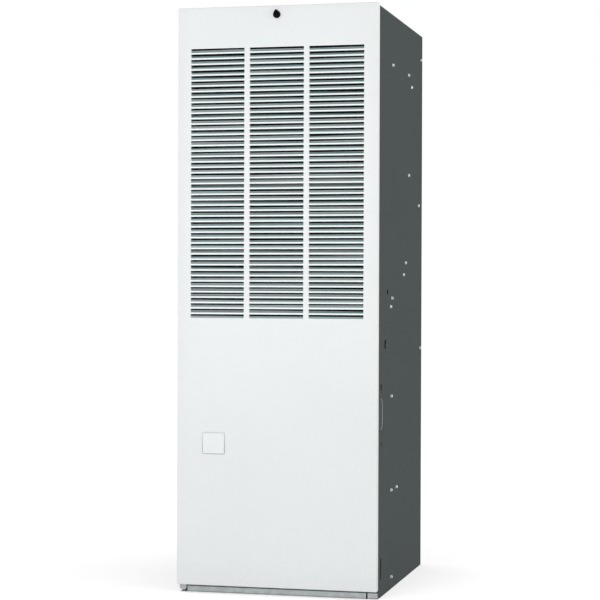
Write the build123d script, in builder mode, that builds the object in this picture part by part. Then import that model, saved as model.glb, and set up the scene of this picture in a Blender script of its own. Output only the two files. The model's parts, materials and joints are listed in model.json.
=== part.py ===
from build123d import *
import os

# Downflow gas furnace for a manufactured home: a sheet steel cabinet with a louvred lift-off
# door, return air through the louvres, supply air out of the base, vent and combustion air on top.
# Millimetres, +Z up, +X to the right seen from the front, the door faces -Y.
# The origin is on the floor at the centre of the cabinet's footprint.

# Cabinet
CABINET_WIDTH = 495.3
CABINET_DEPTH = 609.6
CABINET_HEIGHT = 1418.0
SHEET = 1.0
BEND = 2.5
PAN_FLANGE = 25.0
FRONT_FLANGE = 17.5
REAR_FLANGE = 16.0
FOOT_RELIEF_DEPTH = 25.0
FOOT_RELIEF_HEIGHT = 9.0

# Door
DOOR_OVERLAP = 4.4
DOOR_DEPTH = 22.2
DOOR_BEND = 3.5
DOOR_GAP = 0.3

# Louvre field, stamped inwards, each blade hinged on its lower edge
LOUVRE_COLUMNS = 3
LOUVRE_ROWS = 50
LOUVRE_WIDTH = 134.2
LOUVRE_BAR = 13.2
LOUVRE_PITCH = 13.13
LOUVRE_SLOT = 9.8
LOUVRE_DEPTH = 7.0
LOUVRE_RISE = 5.2
LOUVRE_BEND_DEPTH = 4.2
LOUVRE_BEND_RISE = 2.0
LOUVRE_TOP_MARGIN = 99.6

# Badge plate, bare
BADGE_WIDTH = 57.0
BADGE_HEIGHT = 53.0
BADGE_INSET = 92.55
BADGE_Z = 366.5
BADGE_THICKNESS = 1.6
BADGE_RIM = 2.2
BADGE_RECESS = 0.4
BADGE_CORNER = 4.0

# Quarter-turn latch
LATCH_DROP = 22.2
KNOB_RADIUS = 9.0
KNOB_TIP_REACH = 10.2
KNOB_TIP_RADIUS = 2.6
KNOB_TIP_LEAN = 12.0
KNOB_HEIGHT = 9.5
KNOB_TAPER = 4.0
KNOB_EDGE = 1.2
SPINDLE_RADIUS = 3.0
SPINDLE_CLEARANCE = 0.3
CAM_LENGTH = 21.0
CAM_WIDTH = 8.0
CAM_THICKNESS = 2.5
CAM_GAP = 5.0
CAM_SLOT_MARGIN = 1.0

# Front rails
HEADER_HEIGHT = 65.0
HEADER_LIP = 22.0
DIVISION_ABOVE_DECK = 20.0
DIVISION_BELOW_DECK = 41.0
DIVISION_LIP = 32.0

# Air filters, two stacked behind the louvres
FILTER_INSET = 16.15
FILTER_TOP_PLAY = 5.0
FILTER_THICKNESS = 25.0
FILTER_BORDER = 12.0
FILTER_RAIL_GRIP = 14.0
FILTER_SIDE_PLAY = 1.0
FILTER_FACE_PLAY = 0.5
PLEATS = 14
PLEAT_DEPTH = 18.0
MEDIA_THICKNESS = 1.6

# Base
APRON_LEFT_INSET = 20.35
APRON_RIGHT_INSET = 27.85
APRON_HEIGHT = 19.4
LEDGE_DEPTH = 14.0
LEFT_TAB_GAP = 2.6
LEFT_TAB_BOTTOM = 5.0
LEFT_TAB_ROUND = 5.0
RIGHT_TAB_GAP = 2.4
RIGHT_TAB_ROUND = 0.8
TAB_TOP = 19.6
TAB_LEAF = 40.0
OUTLET_WIDTH = 356.0
OUTLET_FRONT = 190.0
OUTLET_REAR = 39.6
OUTLET_COLLAR_HEIGHT = 25.0
OUTLET_COLLAR_FLANGE = 16.0

# Roof connections
VENT_RADIUS = 63.5
VENT_RISE = 19.0
VENT_SETBACK = 280.0
AIR_COLLAR_RADIUS = 114.3
AIR_COLLAR_RISE = 25.0
AIR_COLLAR_FLANGE = 14.0

# Inside
DECK_Z = 641.0
DECK_FLANGE = 20.0
VESTIBULE_SETBACK = 165.0
SHIELD_STANDOFF = 30.0
SHIELD_BOTTOM = 60.0
SHIELD_TOP_GAP = 41.0
CELL_COUNT = 4
CELL_SPACING = 84.0
CELL_RADII = (26.0, 19.0, 15.0)
CELL_PASS_SPACING = 120.0
CELL_LOWEST = 200.0
CELL_SEAM = 7.0
CELL_REACH = 340.0

# Side panel openings: height above the floor and distance behind the door face
CABLE_HOLE = (130.9, 733.9)
CABLE_HOLE_RADIUS = 6.7
CONDUIT_HOLE = (104.0, 607.7)
CONDUIT_HOLE_RADIUS = 11.1
KEYHOLE = (54.4, 508.0)
KEYHOLE_RADIUS = 4.6
KEYHOLE_NECK_RADIUS = 2.4
KEYHOLE_DROP = 9.0
PILOT_HOLE = (60.7, 367.4)
PILOT_HOLE_RADIUS = 3.0
LEVELLING_SLOT = (55.0, 68.5)
LEVELLING_SLOT_HEIGHT = 53.0
LEVELLING_SLOT_WIDTH = 9.0
GAS_KNOCKOUT = (50.0, 441.4)
GAS_KNOCKOUT_HEIGHT = 75.5
GAS_KNOCKOUT_WIDTH = 38.0
GAS_KNOCKOUT_LINE = 1.2
GAS_KNOCKOUT_DEPTH = 0.4

# Places worked out from the sizes above
DOOR_FACE = -CABINET_DEPTH / 2
FRONT = DOOR_FACE + DOOR_DEPTH + DOOR_GAP
FRONT_INNER = FRONT + SHEET
BACK = CABINET_DEPTH / 2
BACK_INNER = BACK - 2 * SHEET
SIDE = CABINET_WIDTH / 2
SIDE_INNER = SIDE - SHEET
TOP_UNDER = CABINET_HEIGHT - SHEET
DOOR_BOTTOM = APRON_HEIGHT + SHEET
DOOR_TOP = CABINET_HEIGHT + DOOR_OVERLAP
LOUVRE_COLUMN_PITCH = LOUVRE_WIDTH + LOUVRE_BAR
LOUVRE_TOP = DOOR_TOP - LOUVRE_TOP_MARGIN
BADGE_X = BADGE_INSET - SIDE
LATCH_Z = DOOR_TOP - LATCH_DROP
HEADER_BOTTOM = TOP_UNDER - HEADER_HEIGHT
DIVISION_BOTTOM = DECK_Z - DIVISION_BELOW_DECK
DIVISION_TOP = DECK_Z + DIVISION_ABOVE_DECK
FILTER_WIDTH = CABINET_WIDTH - 2 * FILTER_INSET
FILTER_HEIGHT = (HEADER_BOTTOM - FILTER_TOP_PLAY - DIVISION_TOP) / 2
FILTER_FRONT = FRONT_INNER + SHEET + FILTER_FACE_PLAY
APRON_LEFT = APRON_LEFT_INSET - SIDE
APRON_RIGHT = SIDE - APRON_RIGHT_INSET
LEFT_TAB_RIGHT = APRON_LEFT - LEFT_TAB_GAP
RIGHT_TAB_LEFT = APRON_RIGHT + RIGHT_TAB_GAP
OUTLET_DEPTH = CABINET_DEPTH - OUTLET_FRONT - OUTLET_REAR
OUTLET_CENTRE = DOOR_FACE + OUTLET_FRONT + OUTLET_DEPTH / 2
SHIELD_TOP = DECK_Z - SHIELD_TOP_GAP
VENT_Y = DOOR_FACE + VENT_SETBACK
VESTIBULE_Y = DOOR_FACE + VESTIBULE_SETBACK
CAM_FRONT = FRONT_INNER + SHEET + CAM_GAP

os.makedirs("parts", exist_ok=True)


def facing(y):
    """Upright plane seen from the front, at depth y: its X is the width, its Y is the height."""
    return Plane(origin=(0, y, 0), x_dir=(1, 0, 0), z_dir=(0, -1, 0))


def side_on(x):
    """Upright plane across the cabinet at x: its X is the depth, its Y is the height."""
    return Plane(origin=(x, 0, 0), x_dir=(0, 1, 0), z_dir=(1, 0, 0))


def level(z):
    """Level plane at height z."""
    return Plane.XY.offset(z)


def save(piece, name):
    piece.part.label = name
    export_step(piece.part, f"parts/{name}.step")


def pan(z, front, flange_front, flange):
    """Plate with its outer face at z and a flange at the rear and at both sides behind
    flange_front, turned up or, where flange is negative, down."""
    inwards = SHEET if flange > 0 else -SHEET
    with BuildPart() as plate:
        with BuildSketch(level(z)) as outline:
            with Locations((0, front)):
                Rectangle(
                    2 * SIDE_INNER, BACK_INNER - front, align=(Align.CENTER, Align.MIN)
                )
            fillet(outline.vertices(), radius=BEND)
        extrude(amount=inwards)
        with BuildSketch(level(z)):
            with BuildLine():
                FilletPolyline(
                    (-SIDE_INNER, flange_front),
                    (-SIDE_INNER, BACK_INNER),
                    (SIDE_INNER, BACK_INNER),
                    (SIDE_INNER, flange_front),
                    radius=BEND,
                )
                offset(amount=SHEET, side=Side.RIGHT)
            make_face()
        extrude(amount=flange)
    return plate


# Cabinet shell


def side_panel():
    """Right side: a sheet with a front and a rear return flange and the service openings."""
    with BuildPart() as panel:
        with BuildSketch(level(0)):
            with BuildLine():
                FilletPolyline(
                    (SIDE - FRONT_FLANGE, FRONT),
                    (SIDE, FRONT),
                    (SIDE, BACK - SHEET),
                    (SIDE - REAR_FLANGE, BACK - SHEET),
                    radius=BEND,
                )
                offset(amount=SHEET, side=Side.LEFT)
            make_face()
        extrude(amount=CABINET_HEIGHT)
        # The front flange stops above the corner bracket.
        with BuildSketch(facing(FRONT)):
            with Locations((SIDE - FRONT_FLANGE, 0)):
                Rectangle(
                    FRONT_FLANGE - SHEET, DOOR_BOTTOM, align=(Align.MIN, Align.MIN)
                )
        extrude(amount=-(BEND + SHEET), mode=Mode.SUBTRACT)
        # Bottom front corner relief.
        with BuildSketch(side_on(SIDE)):
            with BuildLine():
                Polyline(
                    (FRONT, 0),
                    (FRONT + FOOT_RELIEF_DEPTH, 0),
                    (FRONT, FOOT_RELIEF_HEIGHT),
                    close=True,
                )
            make_face()
        extrude(amount=-FRONT_FLANGE, mode=Mode.SUBTRACT)
        # Service openings.
        with BuildSketch(side_on(SIDE)):
            with Locations((DOOR_FACE + CABLE_HOLE[0], CABLE_HOLE[1])):
                Circle(CABLE_HOLE_RADIUS)
            with Locations((DOOR_FACE + CONDUIT_HOLE[0], CONDUIT_HOLE[1])):
                Circle(CONDUIT_HOLE_RADIUS)
            with Locations((DOOR_FACE + KEYHOLE[0], KEYHOLE[1])):
                Circle(KEYHOLE_RADIUS)
            with Locations((DOOR_FACE + KEYHOLE[0], KEYHOLE[1] - KEYHOLE_DROP / 2)):
                SlotOverall(
                    KEYHOLE_DROP + 2 * KEYHOLE_NECK_RADIUS,
                    2 * KEYHOLE_NECK_RADIUS,
                    rotation=90,
                )
            with Locations((DOOR_FACE + PILOT_HOLE[0], PILOT_HOLE[1])):
                Circle(PILOT_HOLE_RADIUS)
            with Locations((DOOR_FACE + LEVELLING_SLOT[0], LEVELLING_SLOT[1])):
                SlotOverall(LEVELLING_SLOT_HEIGHT, LEVELLING_SLOT_WIDTH, rotation=90)
        extrude(amount=-SHEET, mode=Mode.SUBTRACT)
        # Sheared outline of the gas line knock-out.
        with BuildSketch(side_on(SIDE)):
            with Locations((DOOR_FACE + GAS_KNOCKOUT[0], GAS_KNOCKOUT[1])):
                SlotOverall(GAS_KNOCKOUT_HEIGHT, GAS_KNOCKOUT_WIDTH, rotation=90)
                SlotOverall(
                    GAS_KNOCKOUT_HEIGHT - 2 * GAS_KNOCKOUT_LINE,
                    GAS_KNOCKOUT_WIDTH - 2 * GAS_KNOCKOUT_LINE,
                    rotation=90,
                    mode=Mode.SUBTRACT,
                )
        extrude(amount=-GAS_KNOCKOUT_DEPTH, mode=Mode.SUBTRACT)
    return panel


right_side_panel = side_panel()
save(right_side_panel, "right_side_panel")

with BuildPart() as left_side_panel:
    mirror(right_side_panel.part, about=Plane.YZ)
save(left_side_panel, "left_side_panel")

with BuildPart() as back_panel:
    with BuildSketch(facing(BACK)):
        Rectangle(CABINET_WIDTH, CABINET_HEIGHT, align=(Align.CENTER, Align.MIN))
    extrude(amount=SHEET)
save(back_panel, "back_panel")

# Top pan, open for the vent pipe and combustion air.
with BuildPart() as top_panel:
    add(pan(CABINET_HEIGHT, FRONT_INNER, FRONT_INNER + HEADER_LIP, -PAN_FLANGE).part)
    with BuildSketch(level(CABINET_HEIGHT)):
        with Locations((0, VENT_Y)):
            Circle(AIR_COLLAR_RADIUS - SHEET)
    extrude(amount=-SHEET, mode=Mode.SUBTRACT)
save(top_panel, "top_panel")

# Base

with BuildPart() as base_pan:
    add(pan(0, FRONT_INNER, FRONT + TAB_LEAF, PAN_FLANGE).part)
    with BuildSketch(level(0)):
        with Locations((0, OUTLET_CENTRE)):
            Rectangle(OUTLET_WIDTH, OUTLET_DEPTH)
        # Corner notch below the left bracket.
        with Locations((-SIDE_INNER, FRONT_INNER)):
            Rectangle(
                APRON_LEFT + SIDE_INNER,
                FOOT_RELIEF_DEPTH,
                align=(Align.MIN, Align.MIN),
            )
    extrude(amount=SHEET, mode=Mode.SUBTRACT)
    # Apron with a ledge turned forward, which carries the door.
    with BuildSketch(side_on(APRON_LEFT)):
        with BuildLine():
            Polyline(
                (FRONT_INNER, 0),
                (FRONT_INNER, APRON_HEIGHT + SHEET),
                (FRONT - LEDGE_DEPTH, APRON_HEIGHT + SHEET),
                (FRONT - LEDGE_DEPTH, APRON_HEIGHT),
                (FRONT, APRON_HEIGHT),
                (FRONT, 0),
                close=True,
            )
        make_face()
    extrude(amount=APRON_RIGHT - APRON_LEFT)
save(base_pan, "base_pan")


def corner_bracket(inner_edge, outer_edge, bottom, rounding):
    """Angle in a bottom front corner: a leaf in the front plane and a leaf along the side."""
    outward = 1 if outer_edge > 0 else -1
    side_bottom = max(bottom, SHEET)
    with BuildPart() as bracket:
        with BuildSketch(facing(FRONT)) as leaf:
            with Locations(((inner_edge + outer_edge) / 2, bottom)):
                Rectangle(
                    abs(outer_edge - inner_edge),
                    TAB_TOP - bottom,
                    align=(Align.CENTER, Align.MIN),
                )
            fillet(leaf.vertices().group_by(Axis.Y)[0], radius=rounding)
        extrude(amount=-SHEET)
        with BuildSketch(level(side_bottom + rounding)):
            with Locations((outer_edge - outward * SHEET / 2, FRONT)):
                Rectangle(SHEET, TAB_LEAF, align=(Align.CENTER, Align.MIN))
        extrude(amount=TAB_TOP - side_bottom - rounding)
    return bracket


save(
    corner_bracket(LEFT_TAB_RIGHT, -SIDE_INNER, LEFT_TAB_BOTTOM, LEFT_TAB_ROUND),
    "left_base_bracket",
)
save(
    corner_bracket(RIGHT_TAB_LEFT, SIDE_INNER, 0, RIGHT_TAB_ROUND),
    "right_base_bracket",
)

# Collar round the supply air outlet, flanged onto the base.
with BuildPart() as supply_air_collar:
    with BuildSketch(level(SHEET)):
        with Locations((0, OUTLET_CENTRE)):
            Rectangle(
                OUTLET_WIDTH + 2 * OUTLET_COLLAR_FLANGE,
                OUTLET_DEPTH + 2 * OUTLET_COLLAR_FLANGE,
            )
            Rectangle(OUTLET_WIDTH, OUTLET_DEPTH, mode=Mode.SUBTRACT)
    extrude(amount=SHEET)
    with BuildSketch(level(SHEET)):
        with Locations((0, OUTLET_CENTRE)):
            Rectangle(OUTLET_WIDTH + 2 * SHEET, OUTLET_DEPTH + 2 * SHEET)
            Rectangle(OUTLET_WIDTH, OUTLET_DEPTH, mode=Mode.SUBTRACT)
    extrude(amount=OUTLET_COLLAR_HEIGHT)
save(supply_air_collar, "supply_air_collar")

# Front rails


def front_rail(bottom, top, lip):
    """Channel across the front opening, its web behind the side panels' flanges."""
    with BuildPart() as rail:
        with BuildSketch(side_on(BEND - SIDE_INNER)):
            with BuildLine():
                Polyline(
                    (FRONT_INNER + lip, bottom),
                    (FRONT_INNER, bottom),
                    (FRONT_INNER, top),
                    (FRONT_INNER + lip, top),
                )
                offset(amount=SHEET, side=Side.RIGHT)
            make_face()
        extrude(amount=2 * (SIDE_INNER - BEND))
    return rail


with BuildPart() as header_rail:
    add(front_rail(HEADER_BOTTOM, TOP_UNDER, HEADER_LIP).part)
    with BuildSketch(facing(FRONT_INNER)):
        with Locations((0, LATCH_Z)):
            Rectangle(
                CAM_WIDTH + 2 * CAM_SLOT_MARGIN, CAM_LENGTH + 2 * CAM_SLOT_MARGIN
            )
    extrude(amount=-SHEET, mode=Mode.SUBTRACT)
save(header_rail, "header_rail")

save(front_rail(DIVISION_BOTTOM, DIVISION_TOP, DIVISION_LIP), "division_rail")

# Door: a shallow tray with three columns of stamped louvres

with BuildPart() as door_panel:
    with BuildSketch(facing(DOOR_FACE)):
        with Locations((0, DOOR_BOTTOM)):
            Rectangle(
                CABINET_WIDTH, DOOR_TOP - DOOR_BOTTOM, align=(Align.CENTER, Align.MIN)
            )
    extrude(amount=-DOOR_DEPTH)
    fillet(door_panel.faces().sort_by(Axis.Y)[0].edges(), radius=DOOR_BEND)
    offset(amount=-SHEET, openings=door_panel.faces().sort_by(Axis.Y)[-1])
    for column in range(LOUVRE_COLUMNS):
        middle = (column - (LOUVRE_COLUMNS - 1) / 2) * LOUVRE_COLUMN_PITCH
        left = middle - LOUVRE_WIDTH / 2
        rows = [
            (DOOR_FACE, LOUVRE_TOP - LOUVRE_SLOT - row * LOUVRE_PITCH)
            for row in range(LOUVRE_ROWS)
        ]
        # Outer skin of each louvre, closed at both ends.
        with BuildSketch(side_on(left - SHEET)):
            with BuildSketch(mode=Mode.PRIVATE) as skin:
                with BuildLine():
                    Polyline(
                        (SHEET / 2, -SHEET),
                        (LOUVRE_BEND_DEPTH + SHEET / 2, LOUVRE_BEND_RISE - SHEET),
                        (LOUVRE_DEPTH + SHEET, LOUVRE_RISE),
                        (SHEET / 2, LOUVRE_SLOT),
                        close=True,
                    )
                make_face()
            with Locations(*rows):
                add(skin.sketch)
        extrude(amount=LOUVRE_WIDTH + 2 * SHEET)
        # Scoop out of the slot down to the blade.
        with BuildSketch(side_on(left)):
            with BuildSketch(mode=Mode.PRIVATE) as scoop:
                with BuildLine():
                    Polyline(
                        (0, 0),
                        (LOUVRE_BEND_DEPTH, LOUVRE_BEND_RISE),
                        (LOUVRE_DEPTH, LOUVRE_RISE),
                        (LOUVRE_DEPTH + 2 * SHEET, LOUVRE_RISE),
                        (LOUVRE_DEPTH + 2 * SHEET, LOUVRE_SLOT),
                        (0, LOUVRE_SLOT),
                        close=True,
                    )
                make_face()
            with Locations(*rows):
                add(scoop.sketch)
        extrude(amount=LOUVRE_WIDTH, mode=Mode.SUBTRACT)
    # Spindle hole.
    with BuildSketch(facing(DOOR_FACE)):
        with Locations((0, LATCH_Z)):
            Circle(SPINDLE_RADIUS + SPINDLE_CLEARANCE)
    extrude(amount=-SHEET, mode=Mode.SUBTRACT)
save(door_panel, "door_panel")

with BuildPart() as badge_plate:
    with BuildSketch(facing(DOOR_FACE)):
        with Locations((BADGE_X, BADGE_Z)):
            RectangleRounded(BADGE_WIDTH, BADGE_HEIGHT, BADGE_CORNER)
    extrude(amount=BADGE_THICKNESS)
    with BuildSketch(facing(DOOR_FACE - BADGE_THICKNESS)):
        with Locations((BADGE_X, BADGE_Z)):
            RectangleRounded(
                BADGE_WIDTH - 2 * BADGE_RIM,
                BADGE_HEIGHT - 2 * BADGE_RIM,
                BADGE_CORNER - BADGE_RIM,
            )
    extrude(amount=-BADGE_RECESS, mode=Mode.SUBTRACT)
save(badge_plate, "badge_plate")

# Latch: teardrop knob outside, spindle through the door, cam behind the header rail

with BuildPart() as latch_knob:
    with BuildSketch(facing(DOOR_FACE - DOOR_GAP)):
        with Locations((0, LATCH_Z)):
            Circle(KNOB_RADIUS)
            with PolarLocations(
                KNOB_TIP_REACH, 1, start_angle=90 + KNOB_TIP_LEAN
            ):
                Circle(KNOB_TIP_RADIUS)
        make_hull()
    extrude(amount=KNOB_HEIGHT, taper=KNOB_TAPER)
    fillet(latch_knob.faces().sort_by(Axis.Y)[0].edges(), radius=KNOB_EDGE)
save(latch_knob, "latch_knob")

with BuildPart() as latch_spindle:
    with BuildSketch(facing(DOOR_FACE - DOOR_GAP)):
        with Locations((0, LATCH_Z)):
            Circle(SPINDLE_RADIUS)
    extrude(amount=DOOR_FACE - DOOR_GAP - CAM_FRONT)
save(latch_spindle, "latch_spindle")

with BuildPart() as latch_cam:
    with BuildSketch(facing(CAM_FRONT)):
        with Locations((0, LATCH_Z)):
            SlotOverall(CAM_LENGTH, CAM_WIDTH)
    extrude(amount=-CAM_THICKNESS)
save(latch_cam, "latch_cam")

# Roof connections

with BuildPart() as combustion_air_collar:
    with BuildSketch(Plane.XZ.offset(-VENT_Y)):
        with BuildLine():
            Polyline(
                (AIR_COLLAR_RADIUS + AIR_COLLAR_FLANGE, CABINET_HEIGHT),
                (AIR_COLLAR_RADIUS - SHEET, CABINET_HEIGHT),
                (AIR_COLLAR_RADIUS - SHEET, CABINET_HEIGHT + AIR_COLLAR_RISE),
                (AIR_COLLAR_RADIUS, CABINET_HEIGHT + AIR_COLLAR_RISE),
                (AIR_COLLAR_RADIUS, CABINET_HEIGHT + SHEET),
                (AIR_COLLAR_RADIUS + AIR_COLLAR_FLANGE, CABINET_HEIGHT + SHEET),
                close=True,
            )
        make_face()
    revolve(axis=Axis((0, VENT_Y, 0), (0, 0, 1)))
save(combustion_air_collar, "combustion_air_collar")

with BuildPart() as vent_pipe:
    with BuildSketch(level(DECK_Z)):
        with Locations((0, VENT_Y)):
            Circle(VENT_RADIUS)
            Circle(VENT_RADIUS - SHEET, mode=Mode.SUBTRACT)
    extrude(amount=CABINET_HEIGHT + VENT_RISE - DECK_Z)
save(vent_pipe, "vent_pipe")

# Air filters and their rails


def filter_rail():
    """Right channel that holds the filters' edges."""
    outer = FILTER_WIDTH / 2 + FILTER_SIDE_PLAY + SHEET
    rear = FILTER_FRONT + FILTER_THICKNESS + FILTER_FACE_PLAY + SHEET
    with BuildPart() as rail:
        with BuildSketch(level(DIVISION_TOP)):
            with BuildLine():
                Polyline(
                    (outer - FILTER_RAIL_GRIP, FRONT_INNER),
                    (outer, FRONT_INNER),
                    (outer, rear),
                    (outer - FILTER_RAIL_GRIP, rear),
                )
                offset(amount=SHEET, side=Side.LEFT)
            make_face()
        extrude(amount=HEADER_BOTTOM - DIVISION_TOP)
    return rail


right_filter_rail = filter_rail()
save(right_filter_rail, "right_filter_rail")

with BuildPart() as left_filter_rail:
    mirror(right_filter_rail.part, about=Plane.YZ)
save(left_filter_rail, "left_filter_rail")


def filter_frame(bottom):
    with BuildPart() as frame:
        with BuildSketch(facing(FILTER_FRONT)):
            with Locations((0, bottom + FILTER_HEIGHT / 2)):
                Rectangle(FILTER_WIDTH, FILTER_HEIGHT)
                Rectangle(
                    FILTER_WIDTH - 2 * FILTER_BORDER,
                    FILTER_HEIGHT - 2 * FILTER_BORDER,
                    mode=Mode.SUBTRACT,
                )
        extrude(amount=-FILTER_THICKNESS)
    return frame


def filter_media(bottom):
    """Pleated sheet that fills the frame."""
    half = FILTER_WIDTH / 2 - FILTER_BORDER
    middle = FILTER_FRONT + FILTER_THICKNESS / 2
    step = 2 * half / (2 * PLEATS)
    folds = [
        (-half + i * step, middle + (PLEAT_DEPTH / 2) * (-1) ** i)
        for i in range(2 * PLEATS + 1)
    ]
    back_folds = [(x, y + MEDIA_THICKNESS) for x, y in reversed(folds)]
    with BuildPart() as media:
        with BuildSketch(level(bottom + FILTER_BORDER)):
            with BuildLine():
                Polyline(*folds, *back_folds, close=True)
            make_face()
        extrude(amount=FILTER_HEIGHT - 2 * FILTER_BORDER)
    return media


save(filter_frame(DIVISION_TOP), "lower_filter_frame")
save(filter_media(DIVISION_TOP), "lower_filter_media")
save(filter_frame(DIVISION_TOP + FILTER_HEIGHT), "upper_filter_frame")
save(filter_media(DIVISION_TOP + FILTER_HEIGHT), "upper_filter_media")

# Inside walls

blower_deck = pan(
    DECK_Z, FRONT_INNER + SHEET, FRONT_INNER + DIVISION_LIP, -DECK_FLANGE
)
save(blower_deck, "blower_deck")

with BuildPart() as vestibule_panel:
    with BuildSketch(facing(VESTIBULE_Y)):
        with Locations((0, SHEET)):
            Rectangle(
                2 * (SIDE_INNER - SHEET),
                DECK_Z - 2 * SHEET,
                align=(Align.CENTER, Align.MIN),
            )
    extrude(amount=-SHEET)
save(vestibule_panel, "vestibule_panel")


def heat_shield():
    """Right liner of the heating section, held off the side panel."""
    front = VESTIBULE_Y + SHEET
    with BuildPart() as shield:
        with BuildSketch(level(SHIELD_BOTTOM)):
            with BuildLine():
                Polyline(
                    (SIDE_INNER, front),
                    (SIDE_INNER - SHIELD_STANDOFF, front),
                    (SIDE_INNER - SHIELD_STANDOFF, BACK_INNER),
                    (SIDE_INNER - BEND, BACK_INNER),
                )
                offset(amount=SHEET, side=Side.RIGHT)
            make_face()
        extrude(amount=SHIELD_TOP - SHIELD_BOTTOM)
    return shield


right_heat_shield = heat_shield()
save(right_heat_shield, "right_heat_shield")

with BuildPart() as left_heat_shield:
    mirror(right_heat_shield.part, about=Plane.YZ)
save(left_heat_shield, "left_heat_shield")


def exchanger_cell(x):
    """Pressed clamshell cell: round passages one above the other, joined by a flat seam."""
    top = CELL_LOWEST + (len(CELL_RADII) - 1) * CELL_PASS_SPACING
    with BuildPart() as cell:
        with BuildSketch(facing(VESTIBULE_Y + SHEET)):
            for number, radius in enumerate(CELL_RADII):
                with Locations((x, CELL_LOWEST + number * CELL_PASS_SPACING)):
                    Circle(radius)
            with Locations((x, (CELL_LOWEST + top) / 2)):
                Rectangle(CELL_SEAM, top - CELL_LOWEST)
        extrude(amount=-CELL_REACH)
    return cell


for number in range(CELL_COUNT):
    cell = exchanger_cell((number - (CELL_COUNT - 1) / 2) * CELL_SPACING)
    save(cell, f"heat_exchanger_cell_{number + 1}")
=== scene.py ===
import json
import math

import bmesh
import bpy
import numpy as np
from mathutils import Matrix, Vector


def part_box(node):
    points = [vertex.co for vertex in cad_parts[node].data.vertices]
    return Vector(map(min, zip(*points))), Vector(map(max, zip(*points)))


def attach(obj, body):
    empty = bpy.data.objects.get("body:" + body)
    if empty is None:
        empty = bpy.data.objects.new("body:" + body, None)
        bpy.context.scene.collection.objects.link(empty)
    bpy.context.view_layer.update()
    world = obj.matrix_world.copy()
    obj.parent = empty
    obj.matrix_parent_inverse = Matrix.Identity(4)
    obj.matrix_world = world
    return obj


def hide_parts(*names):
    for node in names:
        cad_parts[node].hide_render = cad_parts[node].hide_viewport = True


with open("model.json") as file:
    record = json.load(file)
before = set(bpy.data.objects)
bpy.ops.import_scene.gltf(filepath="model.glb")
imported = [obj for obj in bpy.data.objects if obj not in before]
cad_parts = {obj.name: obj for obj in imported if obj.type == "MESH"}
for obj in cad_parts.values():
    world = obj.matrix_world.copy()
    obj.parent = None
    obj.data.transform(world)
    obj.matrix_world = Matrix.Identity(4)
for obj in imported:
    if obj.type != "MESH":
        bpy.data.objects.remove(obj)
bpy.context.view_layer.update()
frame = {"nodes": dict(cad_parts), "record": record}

bl_info = {
    "name": "Gas Furnace Cabinet",
    "version": (1, 0, 0),
    "blender": (4, 5, 0),
    "location": "View3D > Sidebar > Furnace",
    "description": "Louvred door, badge, latch, screws and finishes of an upright gas furnace",
    "category": "Object",
}

MM = 0.001
DOOR_LOW, DOOR_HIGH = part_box("door_panel")
PANEL_LOW, PANEL_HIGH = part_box("right_side_panel")
BACK_LOW, BACK_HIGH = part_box("back_panel")
BADGE_LOW, BADGE_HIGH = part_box("badge_plate")
KNOB_LOW, KNOB_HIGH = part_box("latch_knob")
SPINDLE_LOW, SPINDLE_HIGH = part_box("latch_spindle")
VENT_LOW, VENT_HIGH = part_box("vent_pipe")
COLLAR_LOW, COLLAR_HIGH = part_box("combustion_air_collar")
BRACKET_LOW, BRACKET_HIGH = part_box("right_base_bracket")

# Height of the conduit holes in the side panels.
CONDUIT_LEVEL = 607.7 * MM

# Depth behind the door face and height of the screws on a side panel, in millimetres.
SIDE_SCREWS = (
    (186.6, 1294.0), (404.0, 1293.1), (445.2, 1265.9), (407.8, 1034.9),
    (366.7, 808.8), (339.2, 777.9), (184.4, 719.3), (167.8, 698.4),
    (178.5, 478.0), (250.7, 246.7), (181.0, 245.9), (185.8, 30.7),
    (589.3, 1353.7), (554.0, 963.0), (588.8, 584.3),
)
# Small punched openings of a side: depth behind the door, lowest and highest level of the
# centre, and radius, in mm. The keyhole is a circle with a neck.
PUNCHED = (
    (54.4, 508.0, 508.0, 4.6),
    (54.4, 499.0, 508.0, 2.4),
    (60.7, 367.4, 367.4, 3.0),
)


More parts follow.
